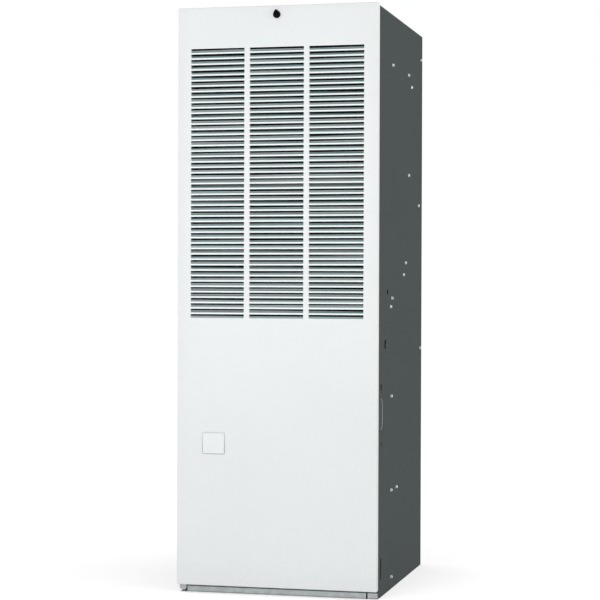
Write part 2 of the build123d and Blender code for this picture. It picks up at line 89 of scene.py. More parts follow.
class FurnaceSizes(bpy.types.PropertyGroup):
    """Sizes of the pieces that dress the cabinet."""

    sheet: bpy.props.FloatProperty(
        name="Sheet thickness",
        description="Thickness of the door's steel sheet",
        default=1.0 * MM,
        unit="LENGTH",
    )
    door_bend: bpy.props.FloatProperty(
        name="Door edge radius",
        description="Outer radius of the bend round the door's face",
        default=2.4 * MM,
        unit="LENGTH",
    )
    louvre_columns: bpy.props.IntProperty(
        name="Louvre columns",
        description="Number of louvre columns",
        default=3,
    )
    louvre_rows: bpy.props.IntProperty(
        name="Louvre rows",
        description="Number of louvres in a column",
        default=50,
    )
    louvre_width: bpy.props.FloatProperty(
        name="Louvre width",
        description="Width of one louvre",
        default=134.2 * MM,
        unit="LENGTH",
    )
    louvre_bar: bpy.props.FloatProperty(
        name="Bar width",
        description="Plain sheet between two louvre columns",
        default=13.2 * MM,
        unit="LENGTH",
    )
    louvre_pitch: bpy.props.FloatProperty(
        name="Louvre pitch",
        description="Height from one louvre to the next",
        default=13.13 * MM,
        unit="LENGTH",
    )
    louvre_slot: bpy.props.FloatProperty(
        name="Louvre slot",
        description="Height of the opening that a louvre was pressed from",
        default=9.8 * MM,
        unit="LENGTH",
    )
    louvre_depth: bpy.props.FloatProperty(
        name="Louvre depth",
        description="How far a blade's lip is pressed in",
        default=7.0 * MM,
        unit="LENGTH",
    )
    louvre_rise: bpy.props.FloatProperty(
        name="Louvre rise",
        description="Height of a blade's lip above its foot",
        default=5.9 * MM,
        unit="LENGTH",
    )
    louvre_end: bpy.props.FloatProperty(
        name="Louvre end",
        description="Length of the drawn end of a blade",
        default=2.2 * MM,
        unit="LENGTH",
    )
    louvre_top_margin: bpy.props.FloatProperty(
        name="Louvre top margin",
        description="Plain sheet from the door's top edge to the first slot",
        default=99.6 * MM,
        unit="LENGTH",
    )
    spindle_hole: bpy.props.FloatProperty(
        name="Spindle hole radius",
        description="Radius of the latch's hole in the door",
        default=3.3 * MM,
        unit="LENGTH",
    )
    knob_radius: bpy.props.FloatProperty(
        name="Knob radius",
        description="Radius of the latch knob's round end",
        default=9.0 * MM,
        unit="LENGTH",
    )
    knob_tip_radius: bpy.props.FloatProperty(
        name="Knob tip radius",
        description="Radius of the latch knob's pointed end",
        default=2.6 * MM,
        unit="LENGTH",
    )
    knob_tip_reach: bpy.props.FloatProperty(
        name="Knob tip reach",
        description="Distance between the centres of the knob's two ends",
        default=10.2 * MM,
        unit="LENGTH",
    )
    knob_tip_lean: bpy.props.FloatProperty(
        name="Knob tip lean",
        description="How far the pointer leans to the left of upright",
        default=math.radians(12.0),
        unit="ROTATION",
    )
    badge_rim: bpy.props.FloatProperty(
        name="Badge rim",
        description="Width of the raised rim round the badge",
        default=1.9 * MM,
        unit="LENGTH",
    )
    badge_corner: bpy.props.FloatProperty(
        name="Badge corner radius",
        description="Corner radius of the badge",
        default=4.0 * MM,
        unit="LENGTH",
    )
    screw_washer: bpy.props.FloatProperty(
        name="Screw washer radius",
        description="Radius of the washer face under a hexagon screw head",
        default=4.1 * MM,
        unit="LENGTH",
    )
    screw_head: bpy.props.FloatProperty(
        name="Screw head half width",
        description="Half the width across the flats of a hexagon screw head",
        default=3.175 * MM,
        unit="LENGTH",
    )
    screw_height: bpy.props.FloatProperty(
        name="Screw head height",
        description="Height of a hexagon screw head with its washer",
        default=3.6 * MM,
        unit="LENGTH",
    )


class FurnaceColours(bpy.types.PropertyGroup):
    """Colours of the furnace's finishes and of the stage."""

    door: bpy.props.FloatVectorProperty(
        name="Door enamel",
        description="Colour of the door's baked enamel",
        default=(0.795, 0.817, 0.822),
        subtype="COLOR",
        min=0.0,
        max=1.0,
    )
    cabinet: bpy.props.FloatVectorProperty(
        name="Cabinet paint",
        description="Colour of the cabinet's dark paint",
        default=(0.068, 0.081, 0.080),
        subtype="COLOR",
        min=0.0,
        max=1.0,
    )
    zinc: bpy.props.FloatVectorProperty(
        name="Galvanised steel",
        description="Colour of the galvanised sheet",
        default=(0.295, 0.315, 0.32),
        subtype="COLOR",
        min=0.0,
        max=1.0,
    )
    aluminised: bpy.props.FloatVectorProperty(
        name="Aluminised steel",
        description="Colour of the aluminised sheet",
        default=(0.46, 0.45, 0.43),
        subtype="COLOR",
        min=0.0,
        max=1.0,
    )
    badge: bpy.props.FloatVectorProperty(
        name="Badge plate",
        description="Colour of the bare badge plate",
        default=(0.77, 0.80, 0.81),
        subtype="COLOR",
        min=0.0,
        max=1.0,
    )
    knob: bpy.props.FloatVectorProperty(
        name="Latch knob",
        description="Colour of the latch knob",
        default=(0.002, 0.002, 0.002),
        subtype="COLOR",
        min=0.0,
        max=1.0,
    )
    plating: bpy.props.FloatVectorProperty(
        name="Zinc plating",
        description="Colour of the screws, the spindle and the cam",
        default=(0.84, 0.92, 0.92),
        subtype="COLOR",
        min=0.0,
        max=1.0,
    )
    filter_board: bpy.props.FloatVectorProperty(
        name="Filter board",
        description="Colour of the filters' card frames",
        default=(0.20, 0.20, 0.19),
        subtype="COLOR",
        min=0.0,
        max=1.0,
    )
    filter_media: bpy.props.FloatVectorProperty(
        name="Filter media",
        description="Colour of the filters' pleated fibre",
        default=(0.022, 0.050, 0.050),
        subtype="COLOR",
        min=0.0,
        max=1.0,
    )
    floor: bpy.props.FloatVectorProperty(
        name="Floor",
        description="Colour of the studio floor",
        default=(0.85, 0.85, 0.85),
        subtype="COLOR",
        min=0.0,
        max=1.0,
    )


# Meshes


def grid_faces(rows, columns, closed=False):
    """Four-sided faces of a grid of points: one face a cell, row by row, and when closed also
    the cells between the last column and the first."""
    row = np.arange(rows - 1)[:, None]
    column = np.arange(columns if closed else columns - 1)[None, :]
    following = (column + 1) % columns
    corners = (
        row * columns + column,
        row * columns + following,
        (row + 1) * columns + following,
        (row + 1) * columns + column,
    )
    return np.stack(np.broadcast_arrays(*corners), axis=-1).reshape(-1, 4)


def ease(value):
    """Smooth step: three times the square less twice the cube, kept between 0 and 1."""
    value = np.clip(value, 0.0, 1.0)
    return value * value * (3.0 - 2.0 * value)


def build_piece(name, points, faces, weld=2e-5, outwards=False):
    """Object from an array of points and lists of faces. Points closer than weld become one,
    and outwards turns every face of a closed shape to the outside."""
    mesh = bpy.data.meshes.new(name)
    mesh.from_pydata(points.tolist(), [], faces)
    shape = bmesh.new()
    shape.from_mesh(mesh)
    bmesh.ops.remove_doubles(shape, verts=shape.verts, dist=weld)
    bmesh.ops.dissolve_degenerate(shape, edges=shape.edges, dist=1e-7)
    if outwards:
        bmesh.ops.recalc_face_normals(shape, faces=shape.faces)
    shape.to_mesh(mesh)
    shape.free()
    piece = bpy.data.objects.new(name, mesh)
    bpy.context.scene.collection.objects.link(piece)
    return piece


def finish_mesh(piece, crease):
    """Puts the piece's modifiers into its mesh, shades it smooth and keeps each edge sharp
    whose faces turn by more than the angle crease, in degrees."""
    if piece.modifiers:
        graph = bpy.context.evaluated_depsgraph_get()
        finished = bpy.data.meshes.new_from_object(piece.evaluated_get(graph))
        rough = piece.data
        piece.modifiers.clear()
        piece.data = finished
        bpy.data.meshes.remove(rough)
        finished.name = piece.name
    piece.data.shade_smooth()
    piece.data.set_sharp_from_angle(angle=math.radians(crease))


def louvre_profile(steps):
    """Depth and height along a blade from its foot to its lip, as shares of the full depth
    and rise: a parabola that leaves the sheet at a shallow slope and steepens to the lip."""
    t = np.linspace(0.0, 1.0, steps + 1)
    depth = 2.0 * (1.0 - t) * t * 0.56 + t * t
    rise = 2.0 * (1.0 - t) * t * 0.20 + t * t
    return t, depth, rise


def door_face(sizes):
    """Points and faces of the door's face with its louvres, as one lattice of upright and
    level lines. Inside a column, the lines between a blade's foot and its lip are pushed in
    and down by an amount that grows from nothing at the blade's ends to the whole blade
    profile, along a quarter of an ellipse. The strip from a lip to the sheet above it is left
    open, and at the blade's ends both its edges meet."""
    half = (DOOR_HIGH.x - DOOR_LOW.x) / 2
    bend = sizes.door_bend
    latch_z = (SPINDLE_LOW.z + SPINDLE_HIGH.z) / 2
    patch = sizes.knob_radius
    end = sizes.louvre_end
    columns = sizes.louvre_columns
    rows = sizes.louvre_rows
    steps = 5
    ramp = np.array([0.0, 0.06, 0.2, 0.42, 0.7, 1.0]) * end
    across = np.concatenate([ramp, sizes.louvre_width - ramp[::-1]])
    pitch = sizes.louvre_width + sizes.louvre_bar
    lefts = (np.arange(columns) - (columns - 1) / 2) * pitch - sizes.louvre_width / 2
    louvre_x = (lefts[:, None] + across[None, :]).ravel()
    plain_x = np.array([-half + bend, -patch, patch, half - bend])
    xs = np.sort(np.concatenate([louvre_x, plain_x]))
    of = np.clip(np.floor((xs - lefts[0]) / pitch), 0, columns - 1).astype(int)
    offset = xs - lefts[of]
    share = np.minimum(offset, sizes.louvre_width - offset) / end
    es = np.sqrt(1.0 - (1.0 - np.clip(share, 0.0, 1.0)) ** 2)
    # Level lines: foot to lip of each blade, then the lower edge of the sheet above it.
    t, depth_share, rise_share = louvre_profile(steps)
    feet = (
        DOOR_HIGH.z
        - sizes.louvre_top_margin
        - sizes.louvre_slot
        - np.arange(rows)[::-1] * sizes.louvre_pitch
    )
    row_t = np.append(t, 1.0)
    row_depth = np.append(depth_share, 0.0)
    row_rise = np.append(rise_share, 0.0)
    row_moves = np.append(np.ones(t.size), 0.0)
    louvre_z = (feet[:, None] + row_t[None, :] * sizes.louvre_slot).ravel()
    low_z = np.array([DOOR_LOW.z + bend])
    high_z = np.array([latch_z - patch, latch_z + patch, DOOR_HIGH.z - bend])
    zs = np.concatenate([low_z, louvre_z, high_z])
    blank = np.zeros(high_z.size)
    move = np.concatenate([[0.0], np.tile(row_moves, rows), blank])
    depth = np.concatenate([[0.0], np.tile(row_depth, rows), blank])
    rise = np.concatenate([[0.0], np.tile(row_rise, rows), blank])
    flat = np.concatenate([[0.0], np.tile(row_t, rows), blank])
    row_of = np.concatenate([[-1], np.repeat(np.arange(rows), row_t.size), blank - 1])
    # Each blade came off the press a little deeper, higher or more tilted than the next.
    chance = np.random.default_rng(41)
    deeper = 1.0 + 0.06 * chance.standard_normal((rows, columns)).clip(-2.0, 2.0)
    higher = 1.0 + 0.07 * chance.standard_normal((rows, columns)).clip(-2.0, 2.0)
    leaning = 0.07 * chance.standard_normal((rows, columns)).clip(-2.0, 2.0)
    row_index = np.maximum(row_of, 0).astype(int)[:, None]
    amount = es[None, :] * move[:, None]
    lean = leaning[row_index, of[None, :]] * (2.0 * offset / sizes.louvre_width - 1.0)[None, :]
    deep = sizes.louvre_depth * deeper[row_index, of[None, :]]
    high = sizes.louvre_rise * (higher[row_index, of[None, :]] + lean)
    y = DOOR_LOW.y + amount * depth[:, None] * deep
    fall = flat[:, None] * sizes.louvre_slot - rise[:, None] * high
    z = zs[:, None] - amount * fall
    x = np.broadcast_to(xs[None, :], y.shape)
    points = np.stack([x, y, z], axis=-1).reshape(-1, 3)
    faces = grid_faces(zs.size, xs.size)
    line = faces[:, 0] // xs.size
    cell = faces[:, 0] % xs.size
    slits = (row_of >= 0) & (move == 1.0) & (np.append(move[1:], 0.0) == 0.0)
    slits &= np.append(row_of[1:], -1) == row_of
    below_latch = np.flatnonzero(np.isclose(zs, latch_z - patch))[0]
    left_of_latch = np.flatnonzero(np.isclose(xs, -patch))[0]
    at_latch = (line == below_latch) & (cell == left_of_latch)
    faces = faces[~slits[line] & ~at_latch]
    return xs, zs, points, faces, (below_latch, left_of_latch)


def latch_hole(sizes, corners, first):
    """Points of the round spindle hole, spaced evenly from its lower left, and the four faces
    between it and the lattice cell that it lies in, one for each side of the cell."""
    quarter = 6
    angle = np.radians(225.0) + np.arange(4 * quarter) * (2.0 * np.pi / (4 * quarter))
    centre_x = (SPINDLE_LOW.x + SPINDLE_HIGH.x) / 2
    centre_z = (SPINDLE_LOW.z + SPINDLE_HIGH.z) / 2
    ring = np.stack(
        [
            centre_x + sizes.spindle_hole * np.cos(angle),
            np.full(angle.size, DOOR_LOW.y),
            centre_z + sizes.spindle_hole * np.sin(angle),
        ],
        axis=-1,
    )
    faces = []
    for side in range(4):
        arc = (side * quarter + np.arange(quarter, -1, -1)) % (4 * quarter) + first
        faces.append([corners[side], corners[(side + 1) % 4], *arc.tolist()])
    return ring, faces


def door_rim(sizes, xs, zs):
    """Points and faces of the bend and return flange round the door. The profile, a quarter
    circle followed by a straight run back, is carried along the outline of the face. Where the
    path turns a corner it pivots about the corner's point, and is stretched there towards the
    square that holds the pivot's circle, so the folded corner is nearly sharp."""
    bend = sizes.door_bend
    depth = DOOR_HIGH.y - DOOR_LOW.y
    turns = np.linspace(0.0, np.pi / 2, 6)
    out = np.append(bend * np.sin(turns), [bend, bend])
    back = np.append(bend * (1.0 - np.cos(turns)), [depth * 0.55, depth])
    corner = np.linspace(0.0, np.pi / 2, 5)[1:-1]
    path = []
    for side, (x, z, lean) in enumerate(
        (
            (xs, np.full(xs.size, zs[0]), -np.pi / 2),
            (np.full(zs.size, xs[-1]), zs, 0.0),
            (xs[::-1], np.full(xs.size, zs[-1]), np.pi / 2),
            (np.full(zs.size, xs[0]), zs[::-1], np.pi),
        )
    ):
        path.append(np.stack([x, z, np.full(x.size, lean)], axis=-1))
        pivot = np.full(corner.size, 1.0)
        path.append(np.stack([pivot * x[-1], pivot * z[-1], lean + corner], axis=-1))
    path = np.concatenate(path)
    way = np.stack([np.cos(path[:, 2]), np.sin(path[:, 2])])
    way /= np.abs(way).max(axis=0) ** 0.8
    x = path[None, :, 0] + out[:, None] * way[0]
    z = path[None, :, 1] + out[:, None] * way[1]
    y = np.broadcast_to(DOOR_LOW.y + back[:, None], x.shape)
    points = np.stack([x, y, z], axis=-1).reshape(-1, 3)
    faces = grid_faces(out.size, path.shape[0], closed=True)[:, ::-1]
    return points, faces


def revolved(profile, segments, hexagon=None):
    """Points and faces of a turned shape about the axis +Z. profile is rows of radius and
    height. Where hexagon is given, it is the share, row by row, by which the round radius
    gives way to that of a hexagon: the radius divided by the cosine of the angle from the
    middle of the nearest flat."""
    turn = np.arange(segments) * (2.0 * np.pi / segments)
    radius, height = profile[:, 0:1], profile[:, 1:2]
    if hexagon is not None:
        flat = np.mod(turn, np.pi / 3) - np.pi / 6
        share = hexagon[:, None]
        radius = radius * (1.0 - share + share / np.cos(flat)[None, :])
    x = radius * np.cos(turn)
    y = radius * np.sin(turn)
    z = np.broadcast_to(height, x.shape)
    points = np.stack([x, y, z], axis=-1).reshape(-1, 3)
    return points, grid_faces(profile.shape[0], segments, closed=True)


def copies(points, faces, centres, outward, spins):
    """One array of points and faces for many copies of a shape. outward holds the direction
    that each copy's +Z takes, and spins its turn about that direction."""
    outward = outward / np.linalg.norm(outward, axis=1)[:, None]
    helper = np.where(np.abs(outward[:, 2:3]) > 0.9, [[1.0, 0.0, 0.0]], [[0.0, 0.0, 1.0]])
    right = np.cross(helper, outward)
    right /= np.linalg.norm(right, axis=1)[:, None]
    upward = np.cross(outward, right)
    cosine, sine = np.cos(spins)[:, None], np.sin(spins)[:, None]
    first = right * cosine + upward * sine
    second = upward * cosine - right * sine
    turned = (
        points[None, :, 0:1] * first[:, None, :]
        + points[None, :, 1:2] * second[:, None, :]
        + points[None, :, 2:3] * outward[:, None, :]
        + centres[:, None, :]
    )
    shifts = np.arange(len(centres))[:, None, None] * len(points)
    return turned.reshape(-1, 3), (faces[None] + shifts).reshape(-1, faces.shape[1])


def rounded_outline(half_width, half_height, radius, quarter):
    """Outline of a rectangle with round corners, anticlockwise: each quarter of a turn moves
    round one corner's centre."""
    turn = np.linspace(0.0, np.pi / 2, quarter)
    angle = (np.arange(4)[:, None] * np.pi / 2 + turn[None, :]).ravel()
    side_x = np.repeat([1.0, -1.0, -1.0, 1.0], quarter)
    side_y = np.repeat([1.0, 1.0, -1.0, -1.0], quarter)
    x = side_x * (half_width - radius) + radius * np.cos(angle)
    y = side_y * (half_height - radius) + radius * np.sin(angle)
    return np.stack([x, y], axis=-1)


def teardrop_outline(sizes, count):
    """Outline of a belt round a large and a small circle. For each direction, the point is on
    the circle that reaches further that way."""
    turn = np.arange(count) * (2.0 * np.pi / count)
    direction = np.stack([np.cos(turn), np.sin(turn)], axis=-1)
    lean = np.pi / 2 + sizes.knob_tip_lean
    tip = sizes.knob_tip_reach * np.array([np.cos(lean), np.sin(lean)])
    far = direction @ tip + sizes.knob_tip_radius
    at_tip = far > sizes.knob_radius
    round_end = direction * sizes.knob_radius
    pointed_end = tip + direction * sizes.knob_tip_radius
    return np.where(at_tip[:, None], pointed_end, round_end)


# Materials


def add_node(tree, kind, links=(), **settings):
    """New node in a tree. settings holds attributes, and links the pairs of an input's name
    or number and its value or the socket that feeds it."""
    made = tree.nodes.new(kind)
    for key, value in settings.items():
        setattr(made, key, value)
    for key, value in links:
        if isinstance(value, bpy.types.NodeSocket):
            tree.links.new(value, made.inputs[key])
        else:
            made.inputs[key].default_value = value
    return made


def calculate(tree, operation, first, second=0.0, clamp=False):
    """Result of a sum on two values or sockets."""
    made = add_node(
        tree,
        "ShaderNodeMath",
        [(0, first), (1, second)],
        operation=operation,
        use_clamp=clamp,
    )
    return made.outputs[0]


def blend_colours(tree, factor, first, second, mode="MIX"):
    """Two colours mixed by a factor."""
    made = add_node(tree, "ShaderNodeMix", data_type="RGBA", blend_type=mode)
    for socket, value in ((0, factor), (6, first), (7, second)):
        if isinstance(value, bpy.types.NodeSocket):
            tree.links.new(value, made.inputs[socket])
        else:
            made.inputs[socket].default_value = value
    return made.outputs[2]


def remap(tree, value, from_low, from_high, to_low, to_high):
    """Value moved smoothly from one range to another."""
    made = add_node(
        tree,
        "ShaderNodeMapRange",
        [(0, value), (1, from_low), (2, from_high), (3, to_low), (4, to_high)],
        interpolation_type="SMOOTHSTEP",
    )
    return made.outputs[0]


def start_group(name, inputs, outputs):
    """Empty node group with its inputs and outputs, each given as a name, a kind and a
    default."""
    group = bpy.data.node_groups.new(name, "ShaderNodeTree")
    for label, kind, value in inputs:
        socket = group.interface.new_socket(name=label, in_out="INPUT", socket_type=kind)
        socket.default_value = value
    for label, kind in outputs:
        group.interface.new_socket(name=label, in_out="OUTPUT", socket_type=kind)
    entry = group.nodes.new("NodeGroupInput")
    leave = group.nodes.new("NodeGroupOutput")
    place = group.nodes.new("ShaderNodeTexCoord").outputs["Object"]
    return group, entry, leave, place


def mottle_group():
    """Cloudy change of tone over a painted or coated surface: a colour made lighter and
    darker by two sizes of noise, and warmer and cooler by the finer one."""
    group, entry, leave, place = start_group(
        "Mottled tone",
        (
            ("Colour", "NodeSocketColor", (0.8, 0.8, 0.8, 1.0)),
            ("Scale", "NodeSocketFloat", 6.0),
            ("Amount", "NodeSocketFloat", 0.03),
            ("Tint", "NodeSocketFloat", 0.0),
        ),
        (("Colour", "NodeSocketColor"),),
    )
    broad = add_node(
        group,
        "ShaderNodeTexNoise",
        [("Vector", place), ("Scale", entry.outputs["Scale"]), ("Detail", 3.0)],
    )
    fine_scale = calculate(group, "MULTIPLY", entry.outputs["Scale"], 37.0)
    fine = add_node(
        group, "ShaderNodeTexNoise", [("Vector", place), ("Scale", fine_scale)]
    )
    broad_part = calculate(group, "SUBTRACT", broad.outputs[0], 0.5)
    fine_part = calculate(group, "MULTIPLY", calculate(group, "SUBTRACT", fine.outputs[0], 0.5), 0.8)
    both = calculate(group, "ADD", broad_part, fine_part)
    swing = calculate(group, "MULTIPLY", both, entry.outputs["Amount"])
    tone = calculate(group, "ADD", swing, 1.0)
    warm = calculate(group, "MULTIPLY", fine_part, entry.outputs["Tint"])
    red = calculate(group, "ADD", tone, warm)
    blue = calculate(group, "SUBTRACT", tone, warm)
    shade = add_node(group, "ShaderNodeCombineColor", [(0, red), (1, tone), (2, blue)])
    colour = blend_colours(group, 1.0, entry.outputs["Colour"], shade.outputs[0], "MULTIPLY")
    group.links.new(colour, leave.inputs["Colour"])
    return group


def paint_skin_group():
    """Height of a paint film: rounded orange peel with a finer grain on it."""
    group, entry, leave, place = start_group(
        "Paint skin",
        (
            ("Peel scale", "NodeSocketFloat", 420.0),
            ("Grain scale", "NodeSocketFloat", 1900.0),
            ("Grain share", "NodeSocketFloat", 0.3),
        ),
        (("Height", "NodeSocketFloat"),),
    )
    peel = add_node(
        group,
        "ShaderNodeTexNoise",
        [("Vector", place), ("Scale", entry.outputs["Peel scale"]), ("Detail", 1.0)],
    )
    grain = add_node(
        group,
        "ShaderNodeTexNoise",
        [("Vector", place), ("Scale", entry.outputs["Grain scale"]), ("Detail", 2.0)],
    )
    share = entry.outputs["Grain share"]
    part = calculate(group, "MULTIPLY", grain.outputs[0], share)
    group.links.new(calculate(group, "ADD", peel.outputs[0], part), leave.inputs["Height"])
    return group


def spangle_group():
    """Flowered crystals of hot-dip coating: each cell of a bent cell pattern has its own tone
    and gloss, and a slight ridge at its border."""
    group, entry, leave, place = start_group(
        "Coating spangle",
        (
            ("Scale", "NodeSocketFloat", 90.0),
            ("Contrast", "NodeSocketFloat", 0.25),
            ("Roughness", "NodeSocketFloat", 0.42),
        ),
        (
            ("Tone", "NodeSocketFloat"),
            ("Roughness", "NodeSocketFloat"),
            ("Height", "NodeSocketFloat"),
        ),
    )
    bend = add_node(
        group, "ShaderNodeTexNoise", [("Vector", place), ("Scale", 160.0), ("Detail", 3.0)]
    )
    bent = add_node(
        group,
        "ShaderNodeVectorMath",
        [(0, bend.outputs["Color"]), (1, (0.006, 0.006, 0.006)), (2, place)],
        operation="MULTIPLY_ADD",
    )
    cells = add_node(
        group,
        "ShaderNodeTexVoronoi",
        [("Vector", bent.outputs[0]), ("Scale", entry.outputs["Scale"])],
        feature="F1",
    )
    part = add_node(group, "ShaderNodeSeparateColor", [(0, cells.outputs["Color"])])
    swing = calculate(group, "SUBTRACT", part.outputs[0], 0.5)
    swing = calculate(group, "MULTIPLY", swing, entry.outputs["Contrast"])
    group.links.new(calculate(group, "ADD", swing, 1.0), leave.inputs["Tone"])
    gloss = calculate(group, "SUBTRACT", part.outputs[1], 0.5)
    gloss = calculate(group, "MULTIPLY", gloss, 0.22)
    gloss = calculate(group, "ADD", gloss, entry.outputs["Roughness"], clamp=True)
    group.links.new(gloss, leave.inputs["Roughness"])
    group.links.new(cells.outputs["Distance"], leave.inputs["Height"])
    return group


def smudge_group():
    """Patches where handling or weather left a film: cloudy noise cut at a level, with soft
    borders."""
    group, entry, leave, place = start_group(
        "Handling film",
        (
            ("Scale", "NodeSocketFloat", 5.0),
            ("Level", "NodeSocketFloat", 0.55),
        ),
        (("Mask", "NodeSocketFloat"),),
    )
    cloud = add_node(
        group,
        "ShaderNodeTexNoise",
        [("Vector", place), ("Scale", entry.outputs["Scale"]), ("Detail", 5.0)],
    )
    low = entry.outputs["Level"]
    high = calculate(group, "ADD", low, 0.2)
    group.links.new(remap(group, cloud.outputs[0], low, high, 0.0, 1.0), leave.inputs["Mask"])
    return group


def dust_group():
    """Fine dust that lies on what faces up and gathers near the floor, broken by noise."""
    group, entry, leave, place = start_group(
        "Settled dust",
        (
            ("Amount", "NodeSocketFloat", 0.3),
            ("Reach", "NodeSocketFloat", 0.05),
        ),
        (("Mask", "NodeSocketFloat"),),
    )
    normal = add_node(group, "ShaderNodeNewGeometry").outputs["Normal"]
    facing = add_node(group, "ShaderNodeSeparateXYZ", [(0, normal)]).outputs[2]
    height = add_node(group, "ShaderNodeSeparateXYZ", [(0, place)]).outputs[2]
    upward = remap(group, facing, 0.5, 1.0, 0.0, 1.0)
    near = remap(group, height, 0.0, entry.outputs["Reach"], 0.5, 0.0)
    cloud = add_node(
        group, "ShaderNodeTexNoise", [("Vector", place), ("Scale", 45.0), ("Detail", 4.0)]
    )
    both = calculate(group, "MAXIMUM", upward, near)
    both = calculate(group, "MULTIPLY", both, entry.outputs["Amount"])
    mask = calculate(group, "MULTIPLY", both, remap(group, cloud.outputs[0], 0.3, 0.7, 0.5, 1.0))
    group.links.new(mask, leave.inputs["Mask"])
    return group


def start_material(name, constants):
    """Material with a Principled shader whose constants are set on its own sockets."""
    material = bpy.data.materials.new(name)
    material.use_nodes = True
    tree = material.node_tree
    tree.nodes.clear()
    shader = add_node(tree, "ShaderNodeBsdfPrincipled", constants)
    output = add_node(tree, "ShaderNodeOutputMaterial")
    tree.links.new(shader.outputs[0], output.inputs["Surface"])
    return material, tree, shader


def use_group(tree, name, values=()):
    """A node group placed in a material, with its own values."""
    return add_node(
        tree, "ShaderNodeGroup", values, node_tree=bpy.data.node_groups[name]
    )


def bump(tree, shader, height, distance, strength=1.0):
    """Height that bends the shader's normal."""
    made = add_node(
        tree,
        "ShaderNodeBump",
        [("Height", height), ("Distance", distance), ("Strength", strength)],
    )
    tree.links.new(made.outputs[0], shader.inputs["Normal"])


def solid(colour):
    return (*colour, 1.0)


def door_enamel(colours, sizes):
    """White baked enamel: faint orange peel, faint clouds, dust near the floor, a painted highlight on
    the louvre columns and on the return flange, and a cool grey painted shade on the blades, which grows
    with their depth behind the face."""
    material, tree, shader = start_material(
        "door_enamel", [("Specular IOR Level", 0.25), ("IOR", 1.5)]
    )
    tone = use_group(
        tree,
        "Mottled tone",
        [("Colour", solid(colours.door)), ("Scale", 3.6), ("Amount", 0.06), ("Tint", 0.04)],
    )
    dust = use_group(tree, "Settled dust", [("Amount", 0.25), ("Reach", 0.10)])
    film = use_group(tree, "Handling film", [("Scale", 7.0), ("Level", 0.52)])
    colour = blend_colours(tree, dust.outputs[0], tone.outputs[0], (0.55, 0.55, 0.54, 1.0))
    # The blades are painted a cool grey that deepens with their depth behind the face: painted shade in
    # the louvres.
    place = add_node(tree, "ShaderNodeTexCoord").outputs["Object"]
    spot = add_node(tree, "ShaderNodeSeparateXYZ", [(0, place)])
    columns, bar = sizes.louvre_columns, sizes.louvre_bar
    reach = (columns * sizes.louvre_width + (columns - 1) * bar) / 2 + 1.0 * MM
    top = DOOR_HIGH.z - sizes.louvre_top_margin + 1.0 * MM
    bottom = top - (sizes.louvre_rows - 1) * sizes.louvre_pitch - sizes.louvre_slot - 2.0 * MM
    aside = calculate(tree, "ABSOLUTE", spot.outputs[0])
    field = calculate(tree, "LESS_THAN", aside, reach)
    field = calculate(tree, "MULTIPLY", field, calculate(tree, "LESS_THAN", spot.outputs[2], top))
    above = calculate(tree, "GREATER_THAN", spot.outputs[2], bottom)
    field = calculate(tree, "MULTIPLY", field, above)
    half_pitch = (sizes.louvre_width + bar) / 2
    within = add_node(
        tree,
        "ShaderNodeMath",
        [(0, spot.outputs[0]), (1, half_pitch), (2, -half_pitch)],
        operation="WRAP",
    )
    within = calculate(tree, "ABSOLUTE", within.outputs[0])
    column = calculate(tree, "LESS_THAN", within, sizes.louvre_width / 2)
    # The louvre columns are painted paler than the rest of the face: a painted highlight on the lands,
    # with the blades' painted shade laid over it.
    land_highlight = calculate(tree, "MULTIPLY", calculate(tree, "MULTIPLY", field, column), 0.95)
    colour = blend_colours(tree, land_highlight, colour, (0.93, 0.965, 0.97, 1.0))
    # The return flange is painted paler and warmer than the face, more so higher up: a painted highlight.
    flange = remap(tree, aside, DOOR_HIGH.x - 2.0 * MM, DOOR_HIGH.x - 0.5 * MM, 0.0, 1.0)
    raised = remap(tree, spot.outputs[2], 0.1, 0.7, 0.0, 0.75)
    flange = calculate(tree, "MULTIPLY", flange, raised)
    colour = blend_colours(tree, flange, colour, (0.93, 0.925, 0.91, 1.0))
    # Painted shade on the blades: grey from 0.4 mm behind the face, more towards the lip, uneven from row
    # to row.
    depth = spot.outputs[1]
    start = remap(tree, depth, DOOR_LOW.y + 0.4 * MM, DOOR_LOW.y + 1.2 * MM, 0.0, 0.52)
    inner = remap(tree, depth, DOOR_LOW.y + 1.2 * MM, DOOR_LOW.y + 5.5 * MM, 0.0, 0.40)
    level = calculate(tree, "MULTIPLY", spot.outputs[2], 62.0)
    rows = add_node(
        tree, "ShaderNodeTexNoise", [("W", level), ("Detail", 0.0)], noise_dimensions="1D"
    )
    uneven = remap(tree, rows.outputs[0], 0.38, 0.62, 0.62, 1.05)
    blade = calculate(tree, "MULTIPLY", calculate(tree, "ADD", start, inner), uneven)
    blade = calculate(tree, "MULTIPLY", blade, field)
    colour = blend_colours(tree, blade, colour, (0.10, 0.215, 0.21, 1.0))
    tree.links.new(colour, shader.inputs["Base Color"])
    roughness = remap(tree, film.outputs[0], 0.0, 1.0, 0.34, 0.42)
    tree.links.new(roughness, shader.inputs["Roughness"])
    skin = use_group(
        tree,
        "Paint skin",
        [("Peel scale", 380.0), ("Grain scale", 2400.0), ("Grain share", 0.15)],
    )
    bump(tree, shader, skin.outputs[0], 0.00012, 0.5)
    return material


